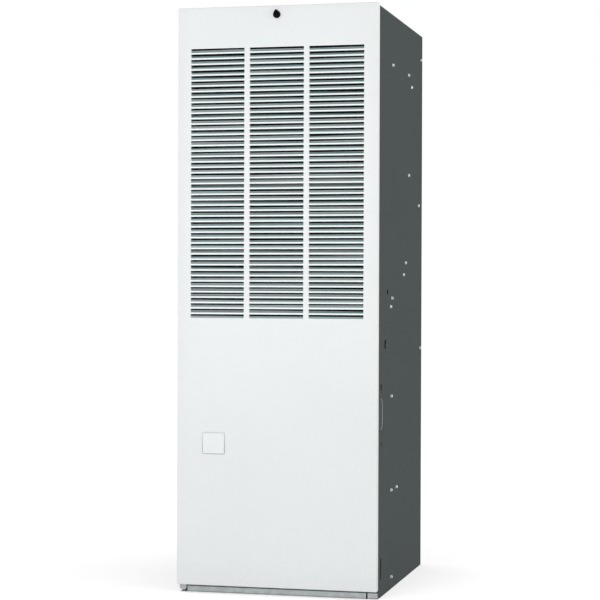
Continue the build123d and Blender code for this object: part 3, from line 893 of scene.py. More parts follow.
def cabinet_paint(colours):
    """Dark grey satin paint with a fine texture, its small openings' cut edges painted black as shade,
    and bare round the conduit hole."""
    material, tree, shader = start_material("cabinet_paint", [("Specular IOR Level", 0.01)])
    tone = use_group(
        tree,
        "Mottled tone",
        [("Colour", solid(colours.cabinet)), ("Scale", 8.0), ("Amount", 0.05)],
    )
    dust = use_group(tree, "Settled dust", [("Amount", 0.10), ("Reach", 0.12)])
    colour = blend_colours(tree, dust.outputs[0], tone.outputs[0], (0.20, 0.20, 0.19, 1.0))
    # The cut edge is where a face of the side sheet looks along the sheet and not out of it.
    place = add_node(tree, "ShaderNodeTexCoord").outputs["Object"]
    spot = add_node(tree, "ShaderNodeSeparateXYZ", [(0, place)])
    normal = add_node(tree, "ShaderNodeNewGeometry").outputs["True Normal"]
    facing = add_node(tree, "ShaderNodeSeparateXYZ", [(0, normal)])
    side = calculate(tree, "ABSOLUTE", spot.outputs[0])
    in_sheet = calculate(tree, "GREATER_THAN", side, PANEL_HIGH.x - 1.2 * MM)
    edge_on = calculate(tree, "LESS_THAN", calculate(tree, "ABSOLUTE", facing.outputs[0]), 0.3)
    behind = calculate(tree, "GREATER_THAN", spot.outputs[1], PANEL_LOW.y + 4.0 * MM)
    before = calculate(tree, "LESS_THAN", spot.outputs[1], PANEL_HIGH.y - 4.0 * MM)
    cut = calculate(tree, "MULTIPLY", in_sheet, edge_on)
    cut = calculate(tree, "MULTIPLY", cut, calculate(tree, "MULTIPLY", behind, before))
    below = calculate(tree, "LESS_THAN", spot.outputs[2], PANEL_HIGH.z - 4.0 * MM)
    cut = calculate(tree, "MULTIPLY", cut, below)
    # The cut edges are painted black: painted shade standing for the dark inside of the openings.
    colour = blend_colours(tree, cut, colour, (0.004, 0.006, 0.006, 1.0))
    low = calculate(tree, "GREATER_THAN", spot.outputs[2], CONDUIT_LEVEL - 6.0 * MM)
    high = calculate(tree, "LESS_THAN", spot.outputs[2], CONDUIT_LEVEL + 3.0 * MM)
    bare = calculate(tree, "MULTIPLY", cut, calculate(tree, "MULTIPLY", low, high))
    colour = blend_colours(tree, bare, colour, (0.42, 0.44, 0.43, 1.0))
    # Round the small openings: black painted shadow before each, which makes it look larger and darker,
    # and a bare line behind.
    # drawn gathers the painted shadow of every opening.
    drawn = 0.0
    for depth, low, high, radius in PUNCHED:
        back = calculate(tree, "SUBTRACT", spot.outputs[1], DOOR_LOW.y + depth * MM)
        held = calculate(tree, "MAXIMUM", spot.outputs[2], low * MM)
        held = calculate(tree, "MINIMUM", held, high * MM)
        off = calculate(tree, "SUBTRACT", spot.outputs[2], held)
        off = calculate(tree, "MULTIPLY", off, off)
        along = calculate(tree, "DIVIDE", back, 1.45)
        away = calculate(tree, "ADD", calculate(tree, "MULTIPLY", along, along), off)
        away = calculate(tree, "SQRT", away, 0.0)
        bare = remap(tree, away, (radius + 1.6) * MM, (radius + 2.0) * MM, 0.22, 0.0)
        bare = calculate(tree, "MULTIPLY", bare, calculate(tree, "GREATER_THAN", back, 0.0))
        colour = blend_colours(tree, bare, colour, (0.36, 0.46, 0.43, 1.0))
        dark = remap(tree, away, (radius + 1.0) * MM, (radius + 1.3) * MM, 0.97, 0.0)
        drawn = calculate(tree, "MAXIMUM", drawn, dark)
    colour = blend_colours(tree, drawn, colour, (0.004, 0.006, 0.006, 1.0))
    tree.links.new(colour, shader.inputs["Base Color"])
    film = use_group(tree, "Handling film", [("Scale", 6.0), ("Level", 0.5)])
    roughness = remap(tree, film.outputs[0], 0.0, 1.0, 0.54, 0.56)
    tree.links.new(roughness, shader.inputs["Roughness"])
    skin = use_group(
        tree,
        "Paint skin",
        [("Peel scale", 900.0), ("Grain scale", 3000.0), ("Grain share", 0.5)],
    )
    bump(tree, shader, skin.outputs[0], 0.00015, 0.6)
    return material


def coated_sheet(name, colour, spangle, contrast, rough, painted_shade=False):
    """Galvanised or aluminised sheet: crystals of several tones and a dull film of dust. The one with
    painted shade is black under the door's ledge, inside the base behind its front leaf and in the joint
    beside its right bracket, all painted shadow, and has a thin dark line low on the strip."""
    material, tree, shader = start_material(name, [("Metallic", 0.85)])
    flake = use_group(
        tree,
        "Coating spangle",
        [("Scale", spangle), ("Contrast", contrast), ("Roughness", rough)],
    )
    tone = use_group(
        tree, "Mottled tone", [("Colour", solid(colour)), ("Scale", 14.0), ("Amount", 0.08)]
    )
    grey = add_node(
        tree,
        "ShaderNodeCombineColor",
        [(0, flake.outputs[0]), (1, flake.outputs[0]), (2, flake.outputs[0])],
    )
    shade = blend_colours(tree, 1.0, tone.outputs[0], grey.outputs[0], "MULTIPLY")
    dust = use_group(tree, "Settled dust", [("Amount", 0.3), ("Reach", 0.03)])
    shade = blend_colours(tree, dust.outputs[0], shade, (0.42, 0.42, 0.41, 1.0))
    if painted_shade:
        place = add_node(tree, "ShaderNodeTexCoord").outputs["Object"]
        spot = add_node(tree, "ShaderNodeSeparateXYZ", [(0, place)])
        front, ledge = PANEL_LOW.y, DOOR_LOW.z
        # Painted shadow: black under the door's ledge and, behind the front leaf, inside the base; low is
        # a thin dark line low on the strip.
        line = remap(tree, spot.outputs[2], ledge - 6.6 * MM, ledge - 5.8 * MM, 0.0, 0.85)
        inside = remap(tree, spot.outputs[1], front + 1.1 * MM, front + 1.4 * MM, 0.0, 0.97)
        near = calculate(tree, "LESS_THAN", spot.outputs[1], front + 110.0 * MM)
        up = calculate(tree, "GREATER_THAN", spot.outputs[2], 0.5 * MM)
        inside = calculate(tree, "MULTIPLY", inside, calculate(tree, "MULTIPLY", near, up))
        low = remap(tree, spot.outputs[2], 1.0 * MM, 1.4 * MM, 0.0, 0.5)
        low = calculate(tree, "MULTIPLY", low, remap(tree, spot.outputs[2], 2.4 * MM, 2.8 * MM, 1.0, 0.0))
        shadow_and_line_mask = calculate(tree, "MAXIMUM", calculate(tree, "MAXIMUM", line, low), inside)
        # Painted shadow in the joint between the base strip and its right bracket.
        joint_shadow = calculate(tree, "SUBTRACT", spot.outputs[0], BRACKET_LOW.x - 1.7 * MM)
        joint_shadow = calculate(tree, "ABSOLUTE", joint_shadow)
        joint_shadow = remap(tree, joint_shadow, 1.7 * MM, 2.0 * MM, 0.92, 0.0)
        shadow_and_line_mask = calculate(tree, "MAXIMUM", shadow_and_line_mask, joint_shadow)
        shade = blend_colours(tree, shadow_and_line_mask, shade, (0.006, 0.007, 0.007, 1.0))
    tree.links.new(shade, shader.inputs["Base Color"])
    tree.links.new(flake.outputs[1], shader.inputs["Roughness"])
    bump(tree, shader, flake.outputs[2], 0.00025, 0.25)
    return material


def badge_plate(colours):
    """Bare pale plate with a slightly darker rim, painted darker at the bottom than at the top as shade.
    """
    material, tree, shader = start_material("badge_plate", [("Specular IOR Level", 0.5)])
    tone = use_group(
        tree,
        "Mottled tone",
        [("Colour", solid(colours.badge)), ("Scale", 30.0), ("Amount", 0.04)],
    )
    place = add_node(tree, "ShaderNodeTexCoord").outputs["Object"]
    spot = add_node(tree, "ShaderNodeSeparateXYZ", [(0, place)])
    middle_x = (BADGE_LOW.x + BADGE_HIGH.x) / 2
    middle_z = (BADGE_LOW.z + BADGE_HIGH.z) / 2
    half_x = (BADGE_HIGH.x - BADGE_LOW.x) / 2
    half_z = (BADGE_HIGH.z - BADGE_LOW.z) / 2
    from_x = calculate(tree, "ABSOLUTE", calculate(tree, "SUBTRACT", spot.outputs[0], middle_x))
    from_z = calculate(tree, "ABSOLUTE", calculate(tree, "SUBTRACT", spot.outputs[2], middle_z))
    share_x = calculate(tree, "SUBTRACT", half_x, from_x)
    share_z = calculate(tree, "SUBTRACT", half_z, from_z)
    inset = calculate(tree, "MINIMUM", share_x, share_z)
    rim = remap(tree, inset, 1.2 * MM, 2.4 * MM, 0.62, 0.0)
    # The rim darkens more towards the bottom than the top: painted shade.
    lower = remap(tree, spot.outputs[2], BADGE_LOW.z, BADGE_HIGH.z, 1.3, 0.6)
    rim = calculate(tree, "MULTIPLY", rim, lower)
    colour = blend_colours(tree, rim, tone.outputs[0], (0.26, 0.32, 0.33, 1.0))
    tree.links.new(colour, shader.inputs["Base Color"])
    film = use_group(tree, "Handling film", [("Scale", 40.0), ("Level", 0.5)])
    tree.links.new(
        remap(tree, film.outputs[0], 0.0, 1.0, 0.30, 0.42), shader.inputs["Roughness"]
    )
    return material


def knob_plastic(colours):
    """Black glossy moulded plastic with faint handling marks."""
    material, tree, shader = start_material("knob_plastic", [("Specular IOR Level", 0.04)])
    tone = use_group(
        tree,
        "Mottled tone",
        [("Colour", solid(colours.knob)), ("Scale", 120.0), ("Amount", 0.5)],
    )
    tree.links.new(tone.outputs[0], shader.inputs["Base Color"])
    film = use_group(tree, "Handling film", [("Scale", 160.0), ("Level", 0.48)])
    tree.links.new(
        remap(tree, film.outputs[0], 0.0, 1.0, 0.16, 0.30), shader.inputs["Roughness"]
    )
    skin = use_group(tree, "Paint skin", [("Peel scale", 1500.0)])
    bump(tree, shader, skin.outputs[0], 0.00003, 0.4)
    return material


def zinc_plating(name, colour):
    """Bright plated steel of small parts, a little uneven in tone and gloss."""
    material, tree, shader = start_material(name, [("Metallic", 0.9)])
    tone = use_group(
        tree,
        "Mottled tone",
        [("Colour", solid(colour)), ("Scale", 90.0), ("Amount", 0.3)],
    )
    tree.links.new(tone.outputs[0], shader.inputs["Base Color"])
    film = use_group(tree, "Handling film", [("Scale", 200.0), ("Level", 0.45)])
    tree.links.new(
        remap(tree, film.outputs[0], 0.0, 1.0, 0.28, 0.45), shader.inputs["Roughness"]
    )
    return material


def card_board(colours):
    """Grey card of the filter frames with its fibres."""
    material, tree, shader = start_material("filter_card", [("Specular IOR Level", 0.2)])
    tone = use_group(
        tree,
        "Mottled tone",
        [("Colour", solid(colours.filter_board)), ("Scale", 40.0), ("Amount", 0.25)],
    )
    dust = use_group(tree, "Settled dust", [("Amount", 0.4), ("Reach", 0.02)])
    colour = blend_colours(tree, dust.outputs[0], tone.outputs[0], (0.3, 0.3, 0.29, 1.0))
    tree.links.new(colour, shader.inputs["Base Color"])
    film = use_group(tree, "Handling film", [("Scale", 20.0), ("Level", 0.5)])
    tree.links.new(
        remap(tree, film.outputs[0], 0.0, 1.0, 0.80, 0.92), shader.inputs["Roughness"]
    )
    skin = use_group(tree, "Paint skin", [("Peel scale", 700.0), ("Grain scale", 2600.0)])
    bump(tree, shader, skin.outputs[0], 0.0002, 0.8)
    return material


def fibre_media(colours):
    """Dark pleated fibre: crossed strands of stretched noise."""
    material, tree, shader = start_material("filter_fibre", [("Specular IOR Level", 0.1)])
    tone = use_group(
        tree,
        "Mottled tone",
        [("Colour", solid(colours.filter_media)), ("Scale", 25.0), ("Amount", 0.5)],
    )
    place = add_node(tree, "ShaderNodeTexCoord").outputs["Object"]
    heights = []
    for turn, stretch in ((0.6, (1.0, 1.0, 9.0)), (-0.7, (9.0, 1.0, 1.0))):
        laid = add_node(
            tree,
            "ShaderNodeMapping",
            [("Vector", place), ("Rotation", (0.0, turn, 0.0)), ("Scale", stretch)],
        )
        strand = add_node(
            tree,
            "ShaderNodeTexNoise",
            [("Vector", laid.outputs[0]), ("Scale", 320.0), ("Detail", 3.0)],
        )
        heights.append(strand.outputs[0])
    mesh = calculate(tree, "MAXIMUM", heights[0], heights[1])
    shade = add_node(tree, "ShaderNodeCombineColor", [(0, mesh), (1, mesh), (2, mesh)])
    colour = blend_colours(tree, 0.7, tone.outputs[0], shade.outputs[0], "MULTIPLY")
    tree.links.new(colour, shader.inputs["Base Color"])
    shader.inputs["Roughness"].default_value = 0.95
    bump(tree, shader, mesh, 0.0006, 0.9)
    return material


def give(piece, material):
    """The piece's only material."""
    piece.data.materials.clear()
    piece.data.materials.append(material)


# Operators


class FURNACE_OT_finishes(bpy.types.Operator):
    """Make the finishes and put them on the cabinet's own parts"""

    bl_idname = "furnace.finishes"
    bl_label = "Finishes"

    def execute(self, context):
        colours = context.scene.furnace_colours
        for make_group in (
            mottle_group,
            paint_skin_group,
            spangle_group,
            smudge_group,
            dust_group,
        ):
            make_group()
        finishes = {
            "door_paint": door_enamel(colours, context.scene.furnace_sizes),
            "cabinet_paint": cabinet_paint(colours),
            "galvanised_steel": coated_sheet(
                "galvanised_sheet", colours.zinc, 95.0, 0.28, 0.42
            ),
            "aluminised_steel": coated_sheet(
                "aluminised_sheet", colours.aluminised, 420.0, 0.14, 0.38
            ),
            "badge_face": badge_plate(colours),
            "filter_board": card_board(colours),
            "filter_media": fibre_media(colours),
            "latch_plastic": knob_plastic(colours),
            "zinc_plate": zinc_plating("zinc_plating", colours.plating),
        }
        for part in frame["record"]["subparts"]:
            give(frame["nodes"][part["node"]], finishes[part["material_slot"]])
        # A galvanised sheet with painted shadow, for the base and its right bracket.
        painted_shade = coated_sheet("painted_shade_sheet", colours.zinc, 95.0, 0.20, 0.42, painted_shade=True)
        for name in ("base_pan", "right_base_bracket"):
            give(frame["nodes"][name], painted_shade)
        zinc_plating("sheared_edge", (0.31, 0.40, 0.37))
        return {"FINISHED"}


class FURNACE_OT_door(bpy.types.Operator):
    """Make the white door with its stamped louvres"""

    bl_idname = "furnace.door"
    bl_label = "Louvred door"

    def execute(self, context):
        sizes = context.scene.furnace_sizes
        xs, zs, points, faces, (line, cell) = door_face(sizes)
        corner = line * xs.size + cell
        corners = [corner, corner + 1, corner + xs.size + 1, corner + xs.size]
        ring, hole_faces = latch_hole(sizes, corners, len(points))
        rim, rim_faces = door_rim(sizes, xs, zs)
        every_face = faces.tolist() + hole_faces
        every_face += (rim_faces + len(points) + len(ring)).tolist()
        door = build_piece("door_skin", np.concatenate([points, ring, rim]), every_face)
        wall = door.modifiers.new("Sheet", "SOLIDIFY")
        wall.thickness = sizes.sheet
        wall.offset = -1.0
        wall.use_even_offset = False
        finish_mesh(door, 38.0)
        give(door, bpy.data.materials["door_enamel"])
        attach(door, "cabinet")
        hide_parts("door_panel")
        return {"FINISHED"}


class FURNACE_OT_badge(bpy.types.Operator):
    """Make the bare badge plate on the door"""

    bl_idname = "furnace.badge"
    bl_label = "Badge plate"

    def execute(self, context):
        sizes = context.scene.furnace_sizes
        half_x = (BADGE_HIGH.x - BADGE_LOW.x) / 2
        half_z = (BADGE_HIGH.z - BADGE_LOW.z) / 2
        height = BADGE_HIGH.y - BADGE_LOW.y
        rim = sizes.badge_rim
        # Inset from the outline and height above the door, from the door's side to the middle.
        profile = np.array(
            [
                (half_x, 0.0),
                (0.15 * MM, 0.0),
                (0.0, 0.15 * MM),
                (0.0, height - 0.5 * MM),
                (0.15 * MM, height - 0.15 * MM),
                (0.5 * MM, height),
                (rim - 0.3 * MM, height),
                (rim, height - 0.35 * MM),
                (rim + 1.0 * MM, height - 0.40 * MM),
                (rim + 6.0 * MM, height - 0.34 * MM),
                (half_x, height - 0.30 * MM),
            ]
        )
        outline = rounded_outline(half_x, half_z, sizes.badge_corner, 7)
        shrink_x = 1.0 - profile[:, 0] / half_x
        shrink_z = 1.0 - np.minimum(profile[:, 0] / half_z, 1.0)
        shrink_z[profile[:, 0] == half_x] = 0.0
        x = (BADGE_LOW.x + BADGE_HIGH.x) / 2 + shrink_x[:, None] * outline[None, :, 0]
        z = (BADGE_LOW.z + BADGE_HIGH.z) / 2 + shrink_z[:, None] * outline[None, :, 1]
        y = np.broadcast_to(BADGE_HIGH.y - profile[:, 1:2], x.shape)
        points = np.stack([x, y, z], axis=-1).reshape(-1, 3)
        faces = grid_faces(len(profile), len(outline), closed=True)
        badge = build_piece("badge_skin", points, faces.tolist(), outwards=True)
        finish_mesh(badge, 50.0)
        give(badge, bpy.data.materials["badge_plate"])
        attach(badge, "cabinet")
        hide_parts("badge_plate")
        return {"FINISHED"}


class FURNACE_OT_latch(bpy.types.Operator):
    """Make the teardrop knob of the quarter-turn latch"""

    bl_idname = "furnace.latch"
    bl_label = "Latch knob"

    def execute(self, context):
        sizes = context.scene.furnace_sizes
        outline = teardrop_outline(sizes, 96)
        height = KNOB_HIGH.y - KNOB_LOW.y
        # The dome: the outline shrinks along a superellipse as the height grows.
        t = np.linspace(0.0, 1.0, 14)
        shrink = np.append([0.0, 0.97], (1.0 - t ** 2.6) ** (1.0 / 2.6))
        rise = np.append([0.0, 0.0], 0.08 + 0.92 * t)
        turned_x, turned_z = outline[:, 0], outline[:, 1]
        x = (SPINDLE_LOW.x + SPINDLE_HIGH.x) / 2 + shrink[:, None] * turned_x
        z = (SPINDLE_LOW.z + SPINDLE_HIGH.z) / 2 + shrink[:, None] * turned_z
        y = np.broadcast_to(KNOB_HIGH.y - height * rise[:, None], x.shape)
        points = np.stack([x, y, z], axis=-1).reshape(-1, 3)
        faces = grid_faces(len(shrink), len(outline), closed=True)
        knob = build_piece("latch_knob_skin", points, faces.tolist(), outwards=True)
        finish_mesh(knob, 60.0)
        give(knob, bpy.data.materials["knob_plastic"])
        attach(knob, "latch")
        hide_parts("latch_knob")
        return {"FINISHED"}


class FURNACE_OT_screws(bpy.types.Operator):
    """Make the hexagon washer-head screws on the sides, the back and the roof collar"""

    bl_idname = "furnace.screws"
    bl_label = "Screws"

    def execute(self, context):
        sizes = context.scene.furnace_sizes
        washer, head, height = sizes.screw_washer, sizes.screw_head, sizes.screw_height
        profile = np.array(
            [
                (0.0, -0.05 * MM),
                (washer * 0.97, -0.05 * MM),
                (washer, 0.35 * MM),
                (washer * 0.92, 0.75 * MM),
                (head, 0.85 * MM),
                (head, height - 0.35 * MM),
                (head * 0.90, height),
                (head * 0.55, height - 0.05 * MM),
                (head * 0.45, height - 0.4 * MM),
                (0.0, height - 0.45 * MM),
            ]
        )
        hexagon = np.array([0.0, 0.0, 0.0, 0.0, 1.0, 1.0, 0.6, 0.0, 0.0, 0.0])
        points, faces = revolved(profile, 24, hexagon)
        side = np.array(SIDE_SCREWS) * MM
        right = np.stack(
            [
                np.full(len(side), PANEL_HIGH.x),
                DOOR_LOW.y + side[:, 0],
                side[:, 1],
            ],
            axis=-1,
        )
        left = right * np.array([-1.0, 1.0, 1.0])
        inset = BACK_HIGH.x - 8.0 * MM
        levels = np.linspace(BACK_LOW.z + 60.0 * MM, BACK_HIGH.z - 60.0 * MM, 7)
        edge = np.array([(s * inset, BACK_HIGH.y, z) for s in (-1.0, 1.0) for z in levels])
        rails = np.array(
            [
                (x, BACK_HIGH.y, z)
                for z in (BACK_LOW.z + 13.0 * MM, BACK_HIGH.z - 13.0 * MM)
                for x in (-0.15, 0.0, 0.15)
            ]
        )
        centre_x = (COLLAR_LOW.x + COLLAR_HIGH.x) / 2
        centre_y = (COLLAR_LOW.y + COLLAR_HIGH.y) / 2
        turn = np.radians(22.5 + 45.0 * np.arange(8))
        reach = COLLAR_HIGH.x - centre_x - 6.5 * MM
        roof = np.stack(
            [
                centre_x + reach * np.cos(turn),
                centre_y + reach * np.sin(turn),
                np.full(8, COLLAR_LOW.z + 1.0 * MM),
            ],
            axis=-1,
        )
        groups = (
            (right, (1.0, 0.0, 0.0)),
            (left, (-1.0, 0.0, 0.0)),
            (np.concatenate([edge, rails]), (0.0, 1.0, 0.0)),
            (roof, (0.0, 0.0, 1.0)),
        )
        centres = np.concatenate([group for group, _ in groups])
        outward = np.concatenate([np.tile(way, (len(group), 1)) for group, way in groups])
        spins = np.random.default_rng(7).uniform(0.0, 2.0 * np.pi, len(centres))
        points, faces = copies(points, faces, centres, outward, spins)
        screws = build_piece("cabinet_screws", points, faces.tolist(), outwards=True)
        finish_mesh(screws, 30.0)
        give(screws, bpy.data.materials["zinc_plating"])
        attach(screws, "cabinet")
        return {"FINISHED"}


class FURNACE_OT_roof(bpy.types.Operator):
    """Make the vent pipe and the combustion air collar on the roof"""

    bl_idname = "furnace.roof"
    bl_label = "Roof connections"

    def execute(self, context):
        centre = np.array([(COLLAR_LOW.x + COLLAR_HIGH.x) / 2, (COLLAR_LOW.y + COLLAR_HIGH.y) / 2, 0])
        wall = 1.0 * MM
        outer = VENT_HIGH.x
        top = VENT_HIGH.z
        # Pipe: inner wall up, a rolled rim, and the outer wall down.
        turn = np.linspace(np.pi, 0.0, 7)
        rim = np.stack(
            [outer - wall / 2 + wall / 2 * np.cos(turn), top - wall / 2 + wall / 2 * np.sin(turn)],
            axis=-1,
        )
        base = np.array([(outer, VENT_LOW.z), (outer - wall, VENT_LOW.z)])
        profile = np.concatenate([base[1:], rim, base[:1], base[1:]])
        points, faces = revolved(profile, 96)
        pipe = build_piece("vent_pipe_skin", points + centre, faces.tolist(), outwards=True)
        finish_mesh(pipe, 40.0)
        give(pipe, bpy.data.materials["aluminised_sheet"])
        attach(pipe, "cabinet")
        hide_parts("vent_pipe")
        # Collar: a flange on the roof, a small fold, the wall, and a hemmed top edge.
        reach = COLLAR_HIGH.x
        radius = reach - 14.0 * MM
        foot, crown = COLLAR_LOW.z, COLLAR_HIGH.z
        fold = np.linspace(0.0, np.pi / 2, 5)
        bend = 1.2 * MM
        inside = np.array([(radius - wall, foot), (radius - wall, crown - wall / 2)])
        hem = np.stack(
            [radius - wall / 2 + wall / 2 * np.cos(turn), crown - wall / 2 + wall / 2 * np.sin(turn)],
            axis=-1,
        )
        corner = np.stack(
            [radius + bend - bend * np.cos(fold), foot + wall + bend - bend * np.sin(fold)],
            axis=-1,
        )
        lip = np.array(
            [(reach - 0.2 * MM, foot + wall), (reach, foot + wall - 0.2 * MM), (reach, foot)]
        )
        profile = np.concatenate([inside, hem, corner, lip, inside[:1]])
        points, faces = revolved(profile, 128)
        collar = build_piece("air_collar_skin", points + centre, faces.tolist(), outwards=True)
        finish_mesh(collar, 40.0)
        give(collar, bpy.data.materials["galvanised_sheet"])
        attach(collar, "cabinet")
        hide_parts("combustion_air_collar")
        return {"FINISHED"}


class FURNACE_OT_knockouts(bpy.types.Operator):
    """Make the sheared edges of the gas line knock-outs"""

    bl_idname = "furnace.knockouts"
    bl_label = "Knock-out edges"

    def execute(self, context):
        # Half width, height and centre of the knock-out: depth behind the door, and height.
        half_width, half_height = 18.4 * MM, 37.15 * MM
        depth, level = 50.0 * MM, 441.4 * MM
        outline = rounded_outline(half_width, half_height, half_width - 0.01 * MM, 13)
        following = np.roll(outline, -1, axis=0) - np.roll(outline, 1, axis=0)
        following /= np.linalg.norm(following, axis=1)[:, None]
        away = np.stack([following[:, 1], -following[:, 0]], axis=-1)
        # The burr: half a circle standing in the groove, wider towards the rear of the outline.
        wide = (0.12 + 0.86 * ease((outline[:, 0] / half_width + 0.2) / 1.0)) * MM
        turn = np.linspace(0.0, np.pi, 6)
        across = np.cos(turn)[:, None] * wide[None, :]
        proud = np.sin(turn)[:, None] * (0.4 * MM + 0.5 * wide[None, :])
        y = DOOR_LOW.y + depth + outline[None, :, 0] + across * away[None, :, 0]
        z = level + outline[None, :, 1] + across * away[None, :, 1]
        x = np.broadcast_to(PANEL_HIGH.x - 0.4 * MM + proud, y.shape)
        shape = np.stack([x, y, z], axis=-1)
        faces = grid_faces(len(turn), len(outline), closed=True)
        points = np.concatenate([shape.reshape(-1, 3), (shape * (-1.0, 1.0, 1.0)).reshape(-1, 3)])
        faces = np.concatenate([faces, faces[:, ::-1] + shape[..., 0].size])
        burr = build_piece("knockout_edges", points, faces.tolist(), outwards=False)
        finish_mesh(burr, 60.0)
        give(burr, bpy.data.materials["sheared_edge"])
        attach(burr, "cabinet")
        return {"FINISHED"}


class FURNACE_OT_stage(bpy.types.Operator):
    """Make the floor, the lights, the world and the camera"""

    bl_idname = "furnace.stage"
    bl_label = "Stage"

    def execute(self, context):
        colours = context.scene.furnace_colours
        ring = np.linspace(0.0, 2.0 * np.pi, 96, endpoint=False)
        radius = np.array([0.0, 0.5, 1.0, 2.0, 4.0, 8.0, 16.0, 40.0])[:, None]
        x, y = radius * np.cos(ring), radius * np.sin(ring)
        points = np.stack([x, y, np.full(x.shape, -0.0002)], axis=-1).reshape(-1, 3)
        faces = grid_faces(8, 96, closed=True)
        floor = build_piece("studio_floor", points, faces.tolist(), outwards=True)
        if floor.data.polygons[0].normal.z < 0.0:
            floor.data.flip_normals()
        material = bpy.data.materials.new("studio_floor")
        material.use_nodes = True
        tree = material.node_tree
        tree.nodes.clear()
        output = add_node(tree, "ShaderNodeOutputMaterial")
        matt = add_node(tree, "ShaderNodeBsdfDiffuse", [("Color", solid(colours.floor))])
        ray = add_node(tree, "ShaderNodeLightPath")
        seen = calculate(tree, "MAXIMUM", ray.outputs["Is Camera Ray"], ray.outputs["Is Glossy Ray"])
        seen = calculate(tree, "MAXIMUM", seen, ray.outputs["Is Transmission Ray"])
        # The floor under the cabinet keeps its own darkness.
        place = add_node(tree, "ShaderNodeTexCoord").outputs["Object"]
        spot = add_node(tree, "ShaderNodeSeparateXYZ", [(0, place)])
        aside = calculate(tree, "ABSOLUTE", spot.outputs[0])
        under = calculate(tree, "LESS_THAN", aside, PANEL_HIGH.x - 1.0 * MM)
        front = calculate(tree, "GREATER_THAN", spot.outputs[1], PANEL_LOW.y + 1.0 * MM)
        rear = calculate(tree, "LESS_THAN", spot.outputs[1], BACK_HIGH.y - 1.0 * MM)
        under = calculate(tree, "MULTIPLY", under, calculate(tree, "MULTIPLY", front, rear))
        open_floor = calculate(tree, "SUBTRACT", 1.0, under)
        lift = calculate(tree, "MULTIPLY", calculate(tree, "MULTIPLY", seen, 0.50), open_floor)
        glow = add_node(tree, "ShaderNodeEmission", [("Strength", lift)])
        both = add_node(
            tree, "ShaderNodeAddShader", [(0, matt.outputs[0]), (1, glow.outputs[0])]
        )
        tree.links.new(both.outputs[0], output.inputs["Surface"])
        give(floor, material)

        world = bpy.data.worlds.new("studio")
        world.use_nodes = True
        tree = world.node_tree
        tree.nodes.clear()
        output = add_node(tree, "ShaderNodeOutputWorld")
        ray = add_node(tree, "ShaderNodeLightPath")
        seen = calculate(tree, "MAXIMUM", ray.outputs["Is Camera Ray"], ray.outputs["Is Glossy Ray"])
        seen = calculate(tree, "MAXIMUM", seen, ray.outputs["Is Transmission Ray"])
        strength = calculate(tree, "ADD", 0.62, calculate(tree, "MULTIPLY", seen, 0.38))
        sky = add_node(tree, "ShaderNodeBackground", [("Color", (1, 1, 1, 1)), ("Strength", strength)])
        tree.links.new(sky.outputs[0], output.inputs["Surface"])
        context.scene.world = world

        lamps = (
            ("key_softbox", (-0.8, -3.9, 1.1), 1.6, 48.0),
            ("fill_softbox", (3.7, -1.0, 1.3), 1.8, 31.0),
        )
        for name, place, width, power in lamps:
            light = bpy.data.lights.new(name, "AREA")
            light.shape = "SQUARE"
            light.size = width
            light.energy = power
            lamp = bpy.data.objects.new(name, light)
            aim = np.array([0.0, 0.0, 0.7]) - np.array(place)
            back = -aim / np.linalg.norm(aim)
            right = np.cross((0.0, 0.0, 1.0), back)
            right /= np.linalg.norm(right)
            upward = np.cross(back, right)
            turn = np.eye(4)
            turn[:3, 0], turn[:3, 1], turn[:3, 2], turn[:3, 3] = right, upward, back, place
            lamp.matrix_world = Matrix(turn.tolist())
            context.scene.collection.objects.link(lamp)

        camera_data = bpy.data.cameras.new("photo_camera")
        camera_data.sensor_width = 36.0
        camera_data.lens = 112.28
        camera_data.shift_x = 0.0018
        camera_data.shift_y = 0.002
        camera_data.clip_start, camera_data.clip_end = 0.1, 200.0
        camera = bpy.data.objects.new("photo_camera", camera_data)
        azimuth, elevation, roll = np.radians((13.665, -0.439, 0.184))
        forward = np.array(
            [
                -np.sin(azimuth) * np.cos(elevation),
                np.cos(azimuth) * np.cos(elevation),
                np.sin(elevation),
            ]
        )
        right = np.array([np.cos(azimuth), np.sin(azimuth), 0.0])
        upward = np.cross(right, forward)
        turn = np.eye(4)
        turn[:3, 0] = right * np.cos(roll) + upward * np.sin(roll)
        turn[:3, 1] = upward * np.cos(roll) - right * np.sin(roll)
        turn[:3, 2] = -forward
        turn[:3, 3] = (1.1165, -4.6639, 0.7462)
        camera.matrix_world = Matrix(turn.tolist())
        context.scene.collection.objects.link(camera)
        context.scene.camera = camera
        context.scene.view_settings.view_transform = "Standard"
        return {"FINISHED"}


class FURNACE_PT_sidebar(bpy.types.Panel):
    """Sizes, colours and pieces of the furnace"""

    bl_idname = "FURNACE_PT_sidebar"
    bl_label = "Gas furnace"
    bl_space_type = "VIEW_3D"
    bl_region_type = "UI"
    bl_category = "Furnace"

    def draw(self, context):
        for title, group in (
            ("Sizes", context.scene.furnace_sizes),
            ("Colours", context.scene.furnace_colours),
        ):
            box = self.layout.box()
            box.label(text=title)
            for name in group.__annotations__:
                box.prop(group, name)
        box = self.layout.box()
        box.label(text="Pieces")
        for operator in PIECES:
            box.operator(operator.bl_idname)


PIECES = (
    FURNACE_OT_finishes,
    FURNACE_OT_door,
    FURNACE_OT_badge,
    FURNACE_OT_latch,
    FURNACE_OT_knockouts,
    FURNACE_OT_screws,
    FURNACE_OT_roof,
    FURNACE_OT_stage,
)
CLASSES = (FurnaceSizes, FurnaceColours, *PIECES, FURNACE_PT_sidebar)


def register():
    for each in CLASSES:
        bpy.utils.register_class(each)
    bpy.types.Scene.furnace_sizes = bpy.props.PointerProperty(type=FurnaceSizes)
    bpy.types.Scene.furnace_colours = bpy.props.PointerProperty(type=FurnaceColours)


def unregister():
    del bpy.types.Scene.furnace_colours
    del bpy.types.Scene.furnace_sizes
    for each in reversed(CLASSES):
        bpy.utils.unregister_class(each)


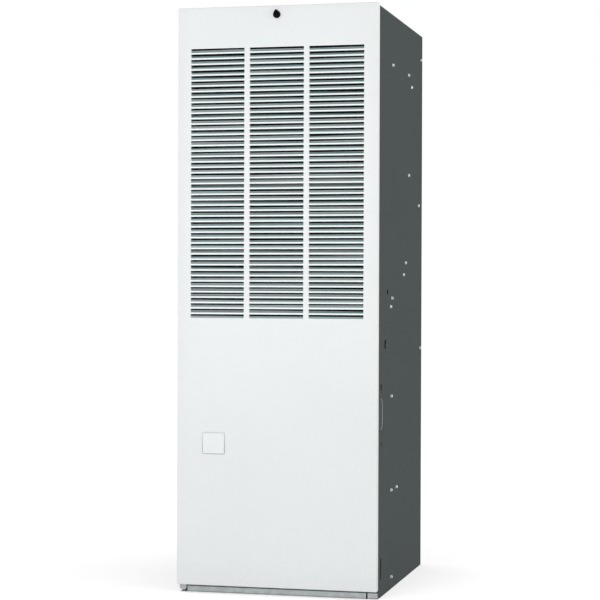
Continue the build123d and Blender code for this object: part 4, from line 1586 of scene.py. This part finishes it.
def main():
    register()
    bpy.ops.furnace.finishes()
    bpy.ops.furnace.door()
    bpy.ops.furnace.badge()
    bpy.ops.furnace.latch()
    bpy.ops.furnace.knockouts()
    bpy.ops.furnace.screws()
    bpy.ops.furnace.roof()
    bpy.ops.furnace.stage()


if __name__ == "__main__":
    main()
